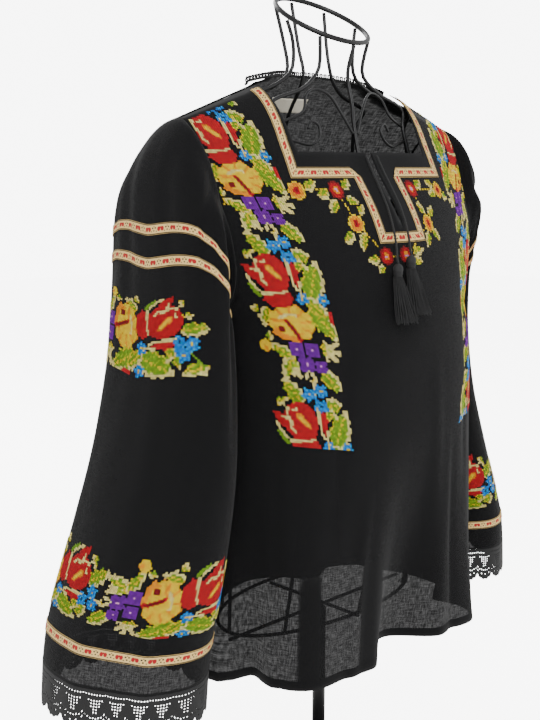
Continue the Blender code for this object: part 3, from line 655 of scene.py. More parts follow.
def panel(side):
    """The mesh lines of one body panel: points, normals, widths and heights."""
    marks = [-SHOULDER_X, -NECK_X, -SLIT_X, SLIT_X, NECK_X, SHOULDER_X]
    xs = between(marks, 0.0036)
    edge = np.array([-0.1896, -0.1885, -0.1868, 0.1868, 0.1885, 0.1896])
    xs = np.sort(np.unique(np.concatenate([xs, edge])))
    lows = between([0.0, 0.0098, 0.0106, 0.14, UNDERARM, SLIT_END, NECK_FRONT], 0.0052)
    tops = np.linspace(0, 1, 15)[1:] ** 0.85
    h = np.repeat(lows[:, None], len(xs), 1)
    wide = np.repeat(xs[None], len(lows), 0)
    if side < 0:
        # the slit closes to a point
        close = np.clip((lows - SLIT_END) / (NECK_FRONT - SLIT_END), 0, 1)[:, None]
        near = np.abs(wide) < SLIT_X + 1e-6
        wide = np.where(near, wide * (0.25 + 0.75 * close), wide)
    flare = np.clip(1 - (np.abs(xs) - NECK_X) / (SHOULDER_X - NECK_X), 0, 1)
    shift = np.sign(xs) * 0.007 * flare * np.minimum(1, np.abs(xs) / NECK_X)
    top = top_h(xs + shift) - 0.0004
    if side > 0:
        top = np.where(np.abs(xs) < NECK_X - 1e-6, back_neck_h(xs), top)
    hs, ws = [], []
    for part in tops:
        hs.append(NECK_FRONT + (top - NECK_FRONT) * part)
        ws.append(xs + shift * part)
    h = np.vstack([h, hs])
    wide = np.vstack([wide, ws])
    return xs, lows, wide / SHOULDER_X, h


def make_body():
    """The front and back panels, with creases and folds."""
    for side, name in ((-1, "front_panel"), (1, "back_panel")):
        xs, lows, c, h = panel(side)

        def surface(a, b):
            return body(side, a, b)

        _, n = body_frames(side, surface, np.clip(c, -0.999, 0.999), h)
        p = body(side, c, h)
        p[..., 1] = side * np.maximum(side * p[..., 1], 0.0006)
        armhole = (np.abs(c) > 0.9999) & (h > UNDERARM - 0.002)
        p[..., 0] = np.where(armhole, np.sign(c) * (seam_x(h) - 0.0004), p[..., 0])
        mask = np.ones((len(h) - 1, len(xs) - 1), bool)
        low = len(lows) - 1
        mid = np.abs(xs[:-1] + xs[1:]) / 2
        if side < 0:
            mask[low:, :][:, mid < NECK_X] = False
            mask[:low][np.ix_(lows[:-1] >= SLIT_END - 1e-6, mid < SLIT_X)] = False
        # layers of cloth: more at the hem, the seams and behind the neck ribbon
        band = h < 0.0102
        seam = np.clip((0.006 - (shoulder_h(p[..., 0]) - h)) / 0.002, 0, 1)
        side_seam = np.clip((np.abs(c) - 0.992) / 0.004, 0, 1)
        layers = np.where(band, 2.6, 1.0) + 1.4 * np.maximum(seam, side_seam)
        if side < 0:
            x = np.abs(c * SHOULDER_X)
            layers = layers + 0.8 * ((x < 0.118) & (h > 0.547) | (x < 0.034) & (h > 0.478))
            # folds at the hem where the cloth lies double
            for left, right, drift in ((-0.722, -0.640, 0.05), (-0.372, -0.170, 0.9)):
                low_edge = right + drift * (0.06 - h)
                inside = np.clip((c - left) / 0.02 + 0.5, 0, 1) * np.clip((low_edge - c) / 0.02 + 0.5, 0, 1)
                layers = layers + 1.3 * inside * np.clip((0.135 - h) / 0.03, 0, 1)
        thick = CLOTH / 2 + np.where(band, 0.0003, 0.0)
        cloth = np.stack([c * SHOULDER_X + 0.5, h * 1.02, layers], -1)
        obj = shell("voile_" + name, p, n, -thick, thick, VOILE, mask, cloth=cloth)
        keep(obj, "cotton_voile", name)


def make_sleeves():
    """The bell sleeves and the three woven ribbons round each."""
    for which, rows, word in SIDES:
        levels = between([0.0, 0.5, 2.0, 6.0, float(len(rows))], 0.13)
        phi = np.linspace(-np.pi, np.pi, 120, endpoint=False)
        v, f = np.meshgrid(levels, phi, indexing="ij")
        p, n = sleeve_frames(which, rows, v, f, np.clip(1.5 - v, 0, 1))
        n[0] = n[1] * 0.5
        n[0, :, 0] = 0
        n[0] /= np.maximum(np.linalg.norm(n[0], axis=-1, keepdims=True), 1e-9)
        layers = 1.0 + 1.2 * (v < 0.35) + 1.6 * (v > len(rows) - 0.10)
        down = np.repeat(run_of(p[:, 60])[:, None], len(phi), 1)
        cloth = np.stack([f * 0.085 + 1.5, down, layers], -1)
        obj = shell("voile_sleeve_" + word, p, n, -CLOTH / 2, CLOTH / 2, VOILE, wrap=True, cloth=cloth)
        keep(obj, "cotton_voile", "sleeve_" + word)
        for label, high, low in RIBBONS:
            bands = np.linspace(sleeve_v(rows, high), sleeve_v(rows, low), 5)
            v, f = np.meshgrid(bands, np.linspace(-np.pi, np.pi, 160, endpoint=False), indexing="ij")
            p, n = sleeve_frames(which, rows, v, f)
            base = CLOTH / 2 + RIBBON_GAP
            run = np.linalg.norm(np.diff(p[2], axis=0, append=p[2][:1]), axis=-1)
            along = np.concatenate([[0], np.cumsum(run)[:-1]])
            along *= round(run.sum() / MOTIF) * MOTIF / run.sum()
            weave = np.stack(np.broadcast_arrays(along[None], np.linspace(0, 1, 5)[:, None], 0.0), -1)
            strip = shell(label + "_woven_" + word, p, n, base, base + RIBBON_THICK, RIBBON, wrap=True,
                          cloth=weave)
            keep(strip, "woven_ribbon", label + "_" + word)


THREADS = [
    "000000",  # bare cloth
    "bc0414",  # red
    "7d060b",  # dark red
    "ecdfa4",  # cream
    "f79400",  # orange
    "ffd200",  # yellow
    "e9cf78",  # pale yellow
    "6f9c12",  # green
    "a5be34",  # light green
    "1c78d4",  # blue
    "6fb6ea",  # pale blue
    "6e2298",  # violet
    "e9b4da",  # pink
    "1a2a4c",  # navy
]
RED, DARK, CREAM, ORANGE, YELLOW, PALE, GREEN, LIGHT, BLUE, SKY, VIOLET, PINK, NAVY = range(1, 14)
CHART_W, CHART_H = 42, 77


class Chart:
    """A sheet of squares that shapes are drawn on, as on a stitch chart."""

    def __init__(self, rows, cols, wrap=False):
        self.cells = np.zeros((rows, cols), np.int8)
        self.wrap = rows if wrap else 0
        self.y, self.x = np.meshgrid(np.arange(rows) + 0.5, np.arange(cols) + 0.5, indexing="ij")

    def paint(self, inside, code):
        """Fill the squares for which inside(x, y) holds."""
        for turn in ((-1, 0, 1) if self.wrap else (0,)):
            y = self.y + turn * self.wrap
            hit = inside(self.x, y)
            value = code(self.x, y) if callable(code) else code
            self.cells = np.where(hit, value, self.cells).astype(np.int8)

    def poly(self, points, code):
        def inside(x, y):
            hit = np.zeros(x.shape, bool)
            for (x1, y1), (x2, y2) in zip(points, points[1:] + points[:1]):
                if y1 == y2:
                    continue
                cross = (y > min(y1, y2)) & (y <= max(y1, y2))
                hit ^= cross & (x < x1 + (y - y1) * (x2 - x1) / (y2 - y1))
            return hit
        self.paint(inside, code)

    def line(self, points, code, wide=0.62):
        def inside(x, y):
            best = np.full(x.shape, 99.0)
            for (x1, y1), (x2, y2) in zip(points, points[1:]):
                dx, dy = x2 - x1, y2 - y1
                t = np.clip(((x - x1) * dx + (y - y1) * dy) / (dx * dx + dy * dy + 1e-9), 0, 1)
                best = np.minimum(best, np.hypot(x - x1 - t * dx, y - y1 - t * dy))
            return best < wide
        self.paint(inside, code)

    def bloom(self, cx, cy, rx, ry, petals, cut, code, turn=0.0):
        """A flower outline whose edge waves once for each petal."""
        def inside(x, y):
            a = np.arctan2((y - cy) / ry, (x - cx) / rx)
            edge = 1 - cut * (0.5 - 0.5 * np.cos(petals * (a - turn)))
            return np.hypot((x - cx) / rx, (y - cy) / ry) < edge
        self.paint(inside, code)

    def leaf(self, base, tip, wide, bright=1, teeth=0.8):
        """A toothed leaf, pale on one side, with a dotted vein."""
        dx, dy = tip[0] - base[0], tip[1] - base[1]
        long = math.hypot(dx, dy)
        ax, ay = dx / long, dy / long

        def place(x, y):
            t = ((x - base[0]) * ax + (y - base[1]) * ay) / long
            s = (x - base[0]) * -ay + (y - base[1]) * ax
            half = wide / 2 * np.sin(np.pi * np.clip(t, 0, 1) ** 0.8) ** 0.75
            return t, s * bright, half + teeth * (np.floor(t * long / 2) % 2 - 0.5)

        def inside(x, y):
            t, s, half = place(x, y)
            return (t > 0) & (t < 1) & (np.abs(s) < half)

        def shade(x, y):
            t, s, half = place(x, y)
            rim = s > half - 1.7
            far = s < -half + 1.3
            vein = (np.abs(s) < 0.6) & (np.floor(t * long) % 3 < 2) & (t < 0.85)
            spot = (np.floor(x) * 7 + np.floor(y) * 5) % 11 < 2
            out = np.where(spot, LIGHT, GREEN)
            out = np.where(vein, PALE, out)
            out = np.where(rim, CREAM, out)
            out = np.where(far & ((np.floor(x) + np.floor(y)) % 2 == 0), PALE, out)
            return np.where(t > 0.86, CREAM, out)

        self.paint(inside, shade)

    def tuft(self, base, tips, wide=1.1):
        """Pale pointed leaf ends on a green stalk."""
        for tip in tips:
            self.line([base, tip], CREAM, wide)
            mid = ((base[0] * 2 + tip[0]) / 3, (base[1] * 2 + tip[1]) / 3)
            self.line([base, mid], LIGHT, wide * 0.7)

    def violet(self, cx, cy, r):
        self.bloom(cx, cy, r, r, 4, 0.28, VIOLET, math.pi / 4)
        self.poly([(cx + a * 0.6, cy + b * 0.6) for a, b in ((-1, -1), (1, -1), (1, 1), (-1, 1))], PINK)

    def blue_flower(self, cx, cy, r, dark=False):
        def shade(x, y):
            mark = (np.floor(x) * 3 + np.floor(y) * 5) % 7
            return np.where(mark < 2, SKY, BLUE)
        self.bloom(cx, cy, r, r, 5, 0.30, shade, 0.4)
        self.line([(cx, cy), (cx + 0.3, cy)], NAVY if dark else PALE, 0.6)

    def round_flower(self, cx, cy, rx, ry, rim, body, heart):
        self.bloom(cx, cy, rx, ry, 8, 0.10, rim)
        self.bloom(cx, cy, rx - 1.2, ry - 1.2, 8, 0.0, body)
        self.bloom(cx, cy, rx * 0.36, ry * 0.42, 8, 0.0, heart)


def draw_rose(ch, x, y):
    """A full rose seen from the side, petals parted by pale lines."""
    def at(points):
        return [(x + a, y + b) for a, b in points]
    ch.poly(at([(0.0, 5), (3.5, 5.5), (6.5, 9), (6.5, 14.5), (3.0, 12.5), (1.5, 9.5)]), RED)
    ch.line(at([(1.5, 11.5), (3.0, 15), (6.0, 19)]), CREAM, 0.8)
    ch.line(at([(2.4, 16.0), (3.8, 19.4), (5.8, 21.5)]), GREEN, 1.0)
    ch.poly(at([(8, 2), (11, 0.2), (15, -0.6), (19, 0.6), (22, 4.5), (23, 9), (22.5, 14), (20.5, 18.6),
                (10, 19.2), (6.6, 15.5), (4.6, 11.0), (5.6, 5.5)]), RED)
    ch.poly(at([(9, 18.6), (20.5, 18.2), (23, 22.5), (21.5, 26), (17, 28), (11, 27.4), (7.5, 24)]), RED)
    ch.line(at([(7.5, 20.6), (13, 20.4), (20.5, 19.2)]), CREAM, 0.62)
    ch.line(at([(8.2, 3.0), (7.2, 6.5), (9.2, 10), (8.6, 14.0), (10.5, 15.5)]), CREAM, 0.70)
    ch.line(at([(4.6, 7.8), (7.5, 9.0)]), CREAM, 0.62)
    ch.line(at([(10.4, 4.2), (13.0, 3.4)]), CREAM, 0.62)
    ch.poly(at([(11.6, 5.6), (14.6, 5.4), (17.2, 9.2), (19.4, 11.6), (18.6, 13.2), (15.6, 12.0),
                (12.6, 8.8)]), ORANGE)
    ch.line(at([(13.2, 6.8), (17.8, 12.0)]), YELLOW, 0.62)
    ch.poly(at([(25.0, 5.5), (26.8, 3.0), (28.6, 8.0), (28.2, 13.2), (26.2, 16.6), (24.6, 12.0)]), RED)
    ch.line(at([(23.8, 1.8), (24.0, 8.5), (24.6, 15.4), (26.0, 18.2)]), CREAM, 0.66)
    ch.line(at([(28.2, 13.8), (27.4, 18.4), (28.0, 21.4)]), CREAM, 0.70)


def draw_gold(ch, x, y):
    """A wide open golden flower with dark strokes in its heart."""
    def petals(px, py):
        a = np.arctan2((py - y) / 10.2, (px - x) / 12.2)
        far = np.hypot((px - x) / 12.2, (py - y) / 10.2)
        parted = (np.cos(9 * (a - 0.2)) < -0.72) & (far > 0.42)
        return np.where(parted | (far > 0.93), ORANGE, YELLOW)

    ch.bloom(x, y, 12.2, 10.2, 9, 0.13, petals, 0.2)
    ch.bloom(x - 3.0, y + 5.0, 8.0, 4.6, 6, 0.10, ORANGE, 0.9)
    ch.bloom(x - 1.5, y + 2.0, 6.6, 5.0, 7, 0.06, YELLOW, 0.5)

    def flecks(px, py):
        arc = np.hypot((px - x - 1) / 9.6, (py - y - 3) / 8.0)
        return (arc > 0.84) & (arc < 1.06) & (py < y - 1.5) & (px < x + 4)

    def flecks_two(px, py):
        ring = np.hypot((px - x) / 10.6, (py - y) / 8.8)
        return (ring > 0.74) & (ring < 0.86) & (px > x + 2) & ((np.floor(px) + np.floor(py)) % 2 == 0)

    ch.paint(flecks, CREAM)
    ch.paint(flecks_two, PALE)
    ch.line([(x - 8.6, y - 0.4), (x - 4.0, y - 1.2)], ORANGE, 0.62)
    ch.poly([(x - 7.6, y + 1.6), (x - 4.6, y + 1.6), (x - 4.6, y + 4.8), (x - 7.6, y + 4.8)], DARK)
    ch.line([(x - 2.2, y - 1.2), (x + 0.4, y + 4.0), (x + 2.2, y + 8.4)], RED, 1.15)
    ch.line([(x - 1.8, y - 0.6), (x + 1.9, y + 7.6)], DARK, 0.55)


def repeat_chart():
    """One repeat of the flower band, drawn down the front of the blouse."""
    ch = Chart(CHART_H, CHART_W, True)
    ch.leaf((31.0, 25.5), (40.0, 3.0), 12.0, 1)
    ch.leaf((30.5, 26.5), (42.5, 44.5), 11.0, -1)
    ch.leaf((29.0, 22.0), (41.5, 34.0), 7.0, -1)
    ch.poly([(40.0, 28.5), (42.0, 29.0), (42.0, 36.0), (40.2, 34.4)], RED)
    ch.leaf((8.5, 27.5), (5.0, 38.5), 6.0, 1)
    ch.leaf((3.5, 27.0), (0.6, 31.5), 3.6, 1)
    draw_rose(ch, 0.0, 0.5)
    draw_gold(ch, 19.4, 36.0)
    ch.blue_flower(27.6, 23.0, 3.4)
    ch.blue_flower(38.8, 23.2, 3.4)
    ch.leaf((5.6, 46.6), (6.8, 40.8), 3.4, 1)
    ch.leaf((17.0, 54.5), (5.6, 47.4), 6.6, 1)
    ch.bloom(2.9, 48.6, 3.0, 3.2, 5, 0.10, YELLOW)
    ch.line([(2.6, 49.6), (3.4, 50.6)], ORANGE, 1.0)
    ch.leaf((15.5, 54.0), (9.4, 65.0), 7.4, 1)
    ch.tuft((16.5, 56.0), [(17.5, 64.0), (14.5, 63.0)])
    ch.tuft((22.5, 59.0), [(20.5, 64.0), (25.2, 64.4)], 0.8)
    ch.tuft((33.0, 48.6), [(40.6, 45.6), (41.2, 50.6), (39.0, 54.4)], 1.2)
    ch.leaf((33.5, 44.0), (34.0, 55.0), 4.0, -1)
    ch.leaf((29.5, 60.0), (38.6, 70.6), 8.6, -1)
    ch.violet(18.6, 49.4, 4.6)
    ch.violet(26.8, 49.2, 4.6)
    ch.violet(22.2, 57.0, 4.7)
    ch.violet(29.6, 57.8, 3.9)
    ch.leaf((16.4, 78.5), (8.2, 64.6), 8.6, 1)
    ch.leaf((3.0, 79.5), (8.4, 75.0), 4.0, 1)
    ch.leaf((27.5, 79.0), (37.6, 76.6), 8.6, -1)
    ch.leaf((27.5, 81.0), (34.6, 84.6), 6.0, -1)
    ch.line([(24.0, 66.8), (23.4, 76.0), (25.0, 83.0)], CREAM, 0.6)
    ch.leaf((22.0, 66.0), (25.8, 65.0), 2.6, 1)
    ch.blue_flower(20.2, 72.8, 3.9)
    ch.blue_flower(26.8, 70.6, 3.9)
    ch.blue_flower(25.9, 78.8, 4.2, True)
    draw_rose(ch, 0.0, 0.5)
    return ch.cells


def form_point(angle, h):
    """A point of the wire form; it keeps inside the cloth that hangs on it."""
    a = math.radians(angle)
    wide = rows_at(FORM_RINGS, 1, h)
    deep = rows_at(FORM_RINGS, 2 if math.cos(a) >= 0 else 3, h)
    x, y = wide * math.sin(a), -deep * math.cos(a)
    side = -1 if y < 0 else 1
    edge = NECK_FRONT - 0.004 if side < 0 else back_neck_h(x) + 0.004
    open_neck = abs(x) < NECK_X - 0.004 and h > edge
    if abs(x) < SHOULDER_X - 0.01 and not open_neck:
        room = abs(body_at(side, x, min(h, float(shoulder_h(x))))[1])
        y = side * min(abs(y), max(room - 0.0054, 0.0))
    return np.array([x, y, HEM + h])


def wire(name, node, points, radius=WIRE, sides=12, closed=False):
    tube = add_mesh("wire_" + name, *tube_arrays(points, radius, sides, closed), PAINT)
    keep(tube, "painted_wire", node)


def make_form():
    """The wire dress form with its post and base."""
    tilt = math.radians(30)

    def on_ring(a, r=0.0563):
        return np.array([r * math.sin(a), 0.003 - r * math.cos(a) * math.cos(tilt),
                         HEM + 0.717 - r * math.cos(a) * math.sin(tilt)])

    ring = [on_ring(a) for a in np.linspace(0, 2 * np.pi, 96, endpoint=False)]
    wire("neck_ring", "neck_ring", ring, 0.0028, 16, True)
    hoop = [form_point(a, HOOP_H) for a in np.linspace(0, 360, 96, endpoint=False)]
    wire("lower_hoop", "lower_hoop", hoop, WIRE, 14, True)
    for name, angle, under in (
        # name, angle, start below the neck ring
        ("rib_front", 0, 0.0032), ("rib_front_right", -45, 0.0034), ("rib_front_left", 45, 0.0034),
        ("rib_right", -90, 0.0047), ("rib_left", 90, 0.0047), ("rib_back_right", -135, 0.0053),
        ("rib_back_left", 135, 0.0053), ("rib_back", 180, 0.0044),
    ):
        start = on_ring(math.radians(angle)) + np.array([0, 0, -under])
        route = [form_point(angle, h) for h in FORM_RINGS[:-1, 0]]
        route = [start] + [p for p in route if p[2] < start[2] - 0.010]
        route.append(form_point(angle, HOOP_H + WIRE + 0.0004))
        wire(name, name, smooth_route(route, 90))
    # places across and heights of the front arches and scrolls
    arch = [(0.0730, 0.612), (0.0630, 0.630), (0.0480, 0.637), (0.0310, 0.631), (0.0170, 0.612)]
    scroll = [(0.0860, 0.580), (0.0680, 0.577), (0.0540, 0.585), (0.0520, 0.597), (0.0610, 0.602),
              (0.0670, 0.594)]
    for side, word in ((-1, "right"), (1, "left")):
        def place(x, h):
            wide, deep = rows_at(FORM_RINGS, 1, h), rows_at(FORM_RINGS, 2, h)
            return np.array([side * x, -deep * math.sqrt(max(0.05, 1 - (x / wide) ** 2)) + 0.002, HEM + h])

        def beside(angle, h, toward):
            """A point on the surface of a rib, on the side of the arch or scroll."""
            p = form_point(angle, h)
            along = form_point(angle, h + 0.004) - form_point(angle, h - 0.004)
            along /= np.linalg.norm(along)
            way = toward - p
            way -= along * np.dot(way, along)
            return p + way / np.linalg.norm(way) * (WIRE + 0.0014)

        marks = [place(x, h) for x, h in arch]
        route = [beside(side * 45, 0.600, marks[0])] + marks + [beside(0, 0.590, marks[-1])]
        wire("arch_" + word, "arch_front_" + word, smooth_route(route, 60), 0.0015, 10)
        marks = [place(x, h) for x, h in scroll]
        route = [beside(side * 45, 0.584, marks[0])] + marks
        wire("scroll_" + word, "scroll_front_" + word, smooth_route(route, 60), 0.0015, 10)
    top = HEM + HOOP_H - WIRE * 2 - SEAM_GAP
    for name, angle, z in (("cross_bar_front", 0, top), ("cross_bar_side", 90, top - WIRE * 2 - SEAM_GAP)):
        a, b = form_point(angle, HOOP_H), form_point(angle + 180, HOOP_H)
        a[2] = b[2] = z
        wire(name, name, np.linspace(a, b, 12))
    post_top = top - WIRE * 3 - 0.0006
    for name, profile in (
        # radius and height
        ("post", [(0.008, 0.0103), (0.008, post_top - 0.0010), (0.0070, post_top)]),
        ("base", [(0.133, 0.0), (0.135, 0.0015), (0.135, 0.0055), (0.1343, 0.0075), (0.1325, 0.0090),
                  (0.129, 0.0099), (0.124, 0.0100), (0.030, 0.0100)]),
    ):
        keep(add_mesh("form_" + name, *lathe(profile, 72), PAINT), "painted_wire", name)


def make_neck_ribbon():
    """The ribbon round the square neck and the slit, mitred at its corners."""
    base = CLOTH / 2 + RIBBON_GAP
    parts, weaves = [], []
    # the two edges, from the shoulder to the foot of the slit
    one, two = [[(STRAP_X[k], top), (STRAP_X[k], YOKE_H[k]), (SLIT_FRAME_X[k], YOKE_H[k]),
                 (SLIT_FRAME_X[k], FOOT_H[k]), (0.0, FOOT_H[k])] for k, top in ((0, 0.6365), (1, 0.6330))]
    for side in (-1, 1):
        for a0, a1, b0, b1 in zip(one, one[1:], two, two[1:]):
            f = np.linspace(0.0, 1.0, max(8, int(math.dist(a0, a1) / 0.0025)) + 1)[:, None]
            g = np.linspace(0, 1, 4)[None]
            x = (a0[0] + (a1[0] - a0[0]) * f) * (1 - g) + (b0[0] + (b1[0] - b0[0]) * f) * g
            h = (a0[1] + (a1[1] - a0[1]) * f) * (1 - g) + (b0[1] + (b1[1] - b0[1]) * f) * g
            p, n = front_frames(side * x, h)
            parts.append(shell_arrays(p, n, base, base + RIBBON_THICK))
            along, across = run_of(p[:, 2])[:, None], np.linspace(0, 1, 4)[None]
            weave = np.stack(np.broadcast_arrays(along, across, 0.0), -1)
            weaves += [weave.reshape(-1, 3)] * 2
    obj = add_mesh("neck_ribbon_woven", *join_arrays(parts), RIBBON,
                   attrs={"cloth": ("FLOAT_VECTOR", np.concatenate(weaves))})
    keep(obj, "woven_ribbon", "neck_ribbon")


def stitch_shape():
    """One cross stitch: two strands, the second on the first.

    Points are places across and down its square, and height in millimetres.
    """
    points, faces = [], []
    for left, right, mid in ((0.03, 0.97, 0.42), (0.97, 0.03, 0.66)):
        dx, dy = right - left, 0.94
        long = math.hypot(dx, dy)
        sx, sy = -dy / long, dx / long
        base = len(points)
        for t, half, ridge, edge in ((0.0, 0.11, 0.20, 0.02), (0.5, 0.205, mid, mid - 0.24),
                                     (1.0, 0.11, 0.20, 0.02)):
            cx, cy = left + dx * t, 0.03 + dy * t
            points += [(cx - sx * half, cy - sy * half, edge), (cx, cy, ridge),
                       (cx + sx * half, cy + sy * half, edge)]
        for q in (base, base + 1, base + 3, base + 4):
            faces.append((q, q + 1, q + 4, q + 3))
    return np.array(points), np.array(faces)


STITCH_POINTS, STITCH_FACES = stitch_shape()
THREAD_RGB = np.array([linear(code) + [1.0] for code in THREADS])
REPEAT = repeat_chart()
# Row of the repeat that crosses the middle of the rose
ROSE_ROW = 11.0


def add_stitches(name, p, n, codes):
    """Cross stitches on a grid of square corners; code 0 leaves the cloth bare."""
    j, i = np.nonzero(codes)
    corners = np.stack([p[j, i], p[j, i + 1], p[j + 1, i], p[j + 1, i + 1]], 1)
    lift = (n[j, i] + n[j + 1, i + 1]) / 2
    lift /= np.linalg.norm(lift, axis=-1, keepdims=True)
    u, v, height = STITCH_POINTS.T
    weight = np.stack([(1 - u) * (1 - v), u * (1 - v), (1 - u) * v, u * v], -1)
    height = CLOTH / 2 + 0.0001 + height * 0.001
    verts = np.einsum("kc,scx->skx", weight, corners) + lift[:, None] * height[None, :, None]
    jitter = RNG.normal(0, 0.00004, (len(j), 1, 3))
    verts = verts + jitter
    count = len(STITCH_POINTS)
    faces = (np.arange(len(j)) * count)[:, None, None] + STITCH_FACES[None]
    faces = faces.reshape(-1, 4)
    # faces look outward whichever way the grid runs
    turn = np.cross(corners[:, 1] - corners[:, 0], corners[:, 2] - corners[:, 0])
    if np.mean(np.sum(turn * lift, -1)) < 0:
        faces = faces[:, ::-1]
    colour = THREAD_RGB[codes[j, i]].copy()
    colour[:, :3] *= RNG.normal(1.0, 0.16, (len(j), 1)).clip(0.62, 1.38)
    colour = np.repeat(colour, count, 0).clip(0, 1)
    obj = add_mesh(name, verts.reshape(-1, 3), [faces], THREAD,
                   attrs={"thread": ("FLOAT_COLOR", colour)}, clean=False)
    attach(obj, "root")


def band_inner(h):
    """Distance of a flower band's inner edge from the middle."""
    return np.interp(h, [0.25, 0.256, 0.373, 0.458, 0.533, 0.594, 0.630],
                     [0.0925, 0.0926, 0.1070, 0.1195, 0.1356, 0.1440, 0.1475])


def make_bands():
    """The flower bands on the front, from the shoulder line down to their cut end."""
    for side, word in ((-1, "right"), (1, "left")):
        hs = np.linspace(BAND_TOP, BAND_END, 700)
        long = run_of(body_at(-1, side * band_inner(hs), hs))
        # a rose is centred at this height
        long -= np.interp(BAND_ROSE, hs[::-1], long[::-1])
        first, last = int(np.ceil(long[0] / BAND_PITCH)), int(np.floor(long[-1] / BAND_PITCH))
        rows = np.arange(first, last + 1)
        start_h = np.interp(rows * BAND_PITCH, long, hs)
        tilt = np.interp(start_h, [0.256, 0.594], [0.013, 0.0])
        reach = np.linspace(0, 0.115, 260)
        xs = band_inner(start_h)[:, None] + reach[None]
        level = start_h[:, None] + tilt[:, None] * np.clip(reach / 0.075, 0, 1.3)[None]
        pts = body_at(-1, side * np.minimum(xs, 0.30), np.minimum(level, shoulder_h(xs) - 0.0003))
        good = (xs < seam_x(level) - 0.0015) & (level < shoulder_h(xs) - 0.0035)
        step = np.linalg.norm(np.diff(pts, axis=1), axis=-1)
        run = np.concatenate([np.zeros((len(rows), 1)), np.cumsum(step, 1)], 1)
        wanted = np.arange(CHART_W, -1, -1) * BAND_STEP
        gx, gh, ok = [], [], []
        for k in range(len(rows)):
            gx.append(np.interp(wanted, run[k], xs[k]))
            gh.append(np.interp(wanted, run[k], level[k]))
            ok.append(wanted <= (run[k][good[k]].max() if good[k].any() else -1.0))
        gx, gh, ok = np.array(gx), np.array(gh), np.array(ok)
        gx = np.minimum(gx, seam_x(gh) - 0.0005)
        p, n = front_frames(side * gx, gh)
        codes = REPEAT[rows[:-1] % CHART_H].copy()
        codes[~(ok[:-1, :-1] & ok[:-1, 1:] & ok[1:, :-1] & ok[1:, 1:])] = 0
        add_stitches("flower_band_" + word, p, n, codes)


def make_garland():
    """Small flowers with leaves round the neck ribbon."""
    x0, top_line, cols, rows = -0.1390, 0.5540, 144, 58
    ch = Chart(rows, cols)

    def at(x, h):
        return (x - x0) / PITCH, (top_line - h) / PITCH

    def dashes(x, y):
        return np.where(np.floor(x + y) % 3 < 2, PALE, 0)

    flowers = [
        # place across, height, kind, radius in stitches
        (-0.1230, 0.5290, "gold", 5.3), (-0.0730, 0.5290, "red", 5.3), (-0.0625, 0.4940, "gold", 5.3),
        (-0.0340, 0.4590, "red", 5.1), (-0.0050, 0.4590, "red", 5.1), (0.0570, 0.4910, "gold", 5.2),
        (0.0500, 0.5290, "red", 5.3), (0.1080, 0.5270, "gold", 4.8),
    ]
    sprigs = [
        # foot, tip, width in stitches, bright side
        ((-0.1130, 0.5300), (-0.0960, 0.5390), 5.4, 1), ((-0.0840, 0.5260), (-0.1010, 0.5230), 5.4, -1),
        ((-0.0630, 0.5300), (-0.0500, 0.5390), 5.2, 1), ((-0.0640, 0.5200), (-0.0490, 0.5160), 5.2, -1),
        ((-0.0780, 0.5190), (-0.0900, 0.5060), 5.4, 1), ((-0.0700, 0.4850), (-0.0830, 0.4740), 5.4, -1),
        ((-0.0540, 0.5030), (-0.0450, 0.5130), 4.6, 1), ((-0.0560, 0.4850), (-0.0640, 0.4660), 5.6, 1),
        ((-0.0440, 0.4560), (-0.0600, 0.4560), 5.2, -1), ((-0.0400, 0.4500), (-0.0480, 0.4430), 4.6, 1),
        ((0.0060, 0.4560), (0.0230, 0.4500), 5.4, -1), ((0.0080, 0.4610), (0.0300, 0.4640), 5.2, 1),
        ((0.0520, 0.4820), (0.0400, 0.4650), 5.6, 1), ((0.0630, 0.4840), (0.0740, 0.4720), 5.4, -1),
        ((0.0570, 0.5010), (0.0480, 0.5150), 4.6, 1), ((0.0640, 0.5000), (0.0780, 0.5080), 5.2, -1),
        ((0.0600, 0.5300), (0.0740, 0.5380), 5.2, 1), ((0.0990, 0.5250), (0.0820, 0.5220), 5.2, 1),
        ((0.0990, 0.5310), (0.0840, 0.5370), 4.8, -1), ((0.1150, 0.5220), (0.1270, 0.5160), 5.0, 1),
    ]
    for a, b in zip(flowers, flowers[1:]):
        ch.line([at(*a[:2]), at(*b[:2])], dashes, 0.5)
    for foot, tip, wide, bright in sprigs:
        ch.leaf(at(*foot), at(*tip), wide, bright, 0.5)
    for x, h, kind, r in flowers:
        cx, cy = at(x, h)
        if kind == "red":
            ch.round_flower(cx, cy, r, r, DARK, RED, ORANGE)
            ch.line([(cx - 0.6, cy), (cx + 0.6, cy)], PINK, 0.55)
        else:
            ch.round_flower(cx, cy, r, r, YELLOW, ORANGE, RED)
            ch.line([(cx, cy - 0.4), (cx, cy + 0.6)], DARK, 0.55)
    u, w = np.meshgrid(np.arange(cols + 1), np.arange(rows + 1))
    gx, gh = x0 + u * PITCH, top_line - w * PITCH
    p, n = front_frames(gx, gh)
    codes = ch.cells.copy()
    # no stitches on the neck ribbon, inside it or under the flower bands
    x, h = np.abs(gx[:-1, :-1] + PITCH / 2), gh[:-1, :-1] - PITCH / 2
    room = 0.0014
    over = (x < STRAP_X[1] + room) & (h > YOKE_H[1] - room) & (x > SLIT_FRAME_X[1] - room)
    over |= (x < SLIT_FRAME_X[0] + room) & (h > FOOT_H[0] - room)
    codes[over | (x > GARLAND_X)] = 0
    add_stitches("neck_garland", p, n, codes)


def sleeve_stitches(name, which, rows, codes, v_low, v_high, phis):
    """Stitches on a sleeve: chart rows run round it, chart columns run down."""
    levels = v_low + (v_high - v_low) * np.arange(codes.shape[1] + 1) / codes.shape[1]
    v, phi = np.meshgrid(levels, phis)
    add_stitches(name, *sleeve_frames(which, rows, v, phi), codes)


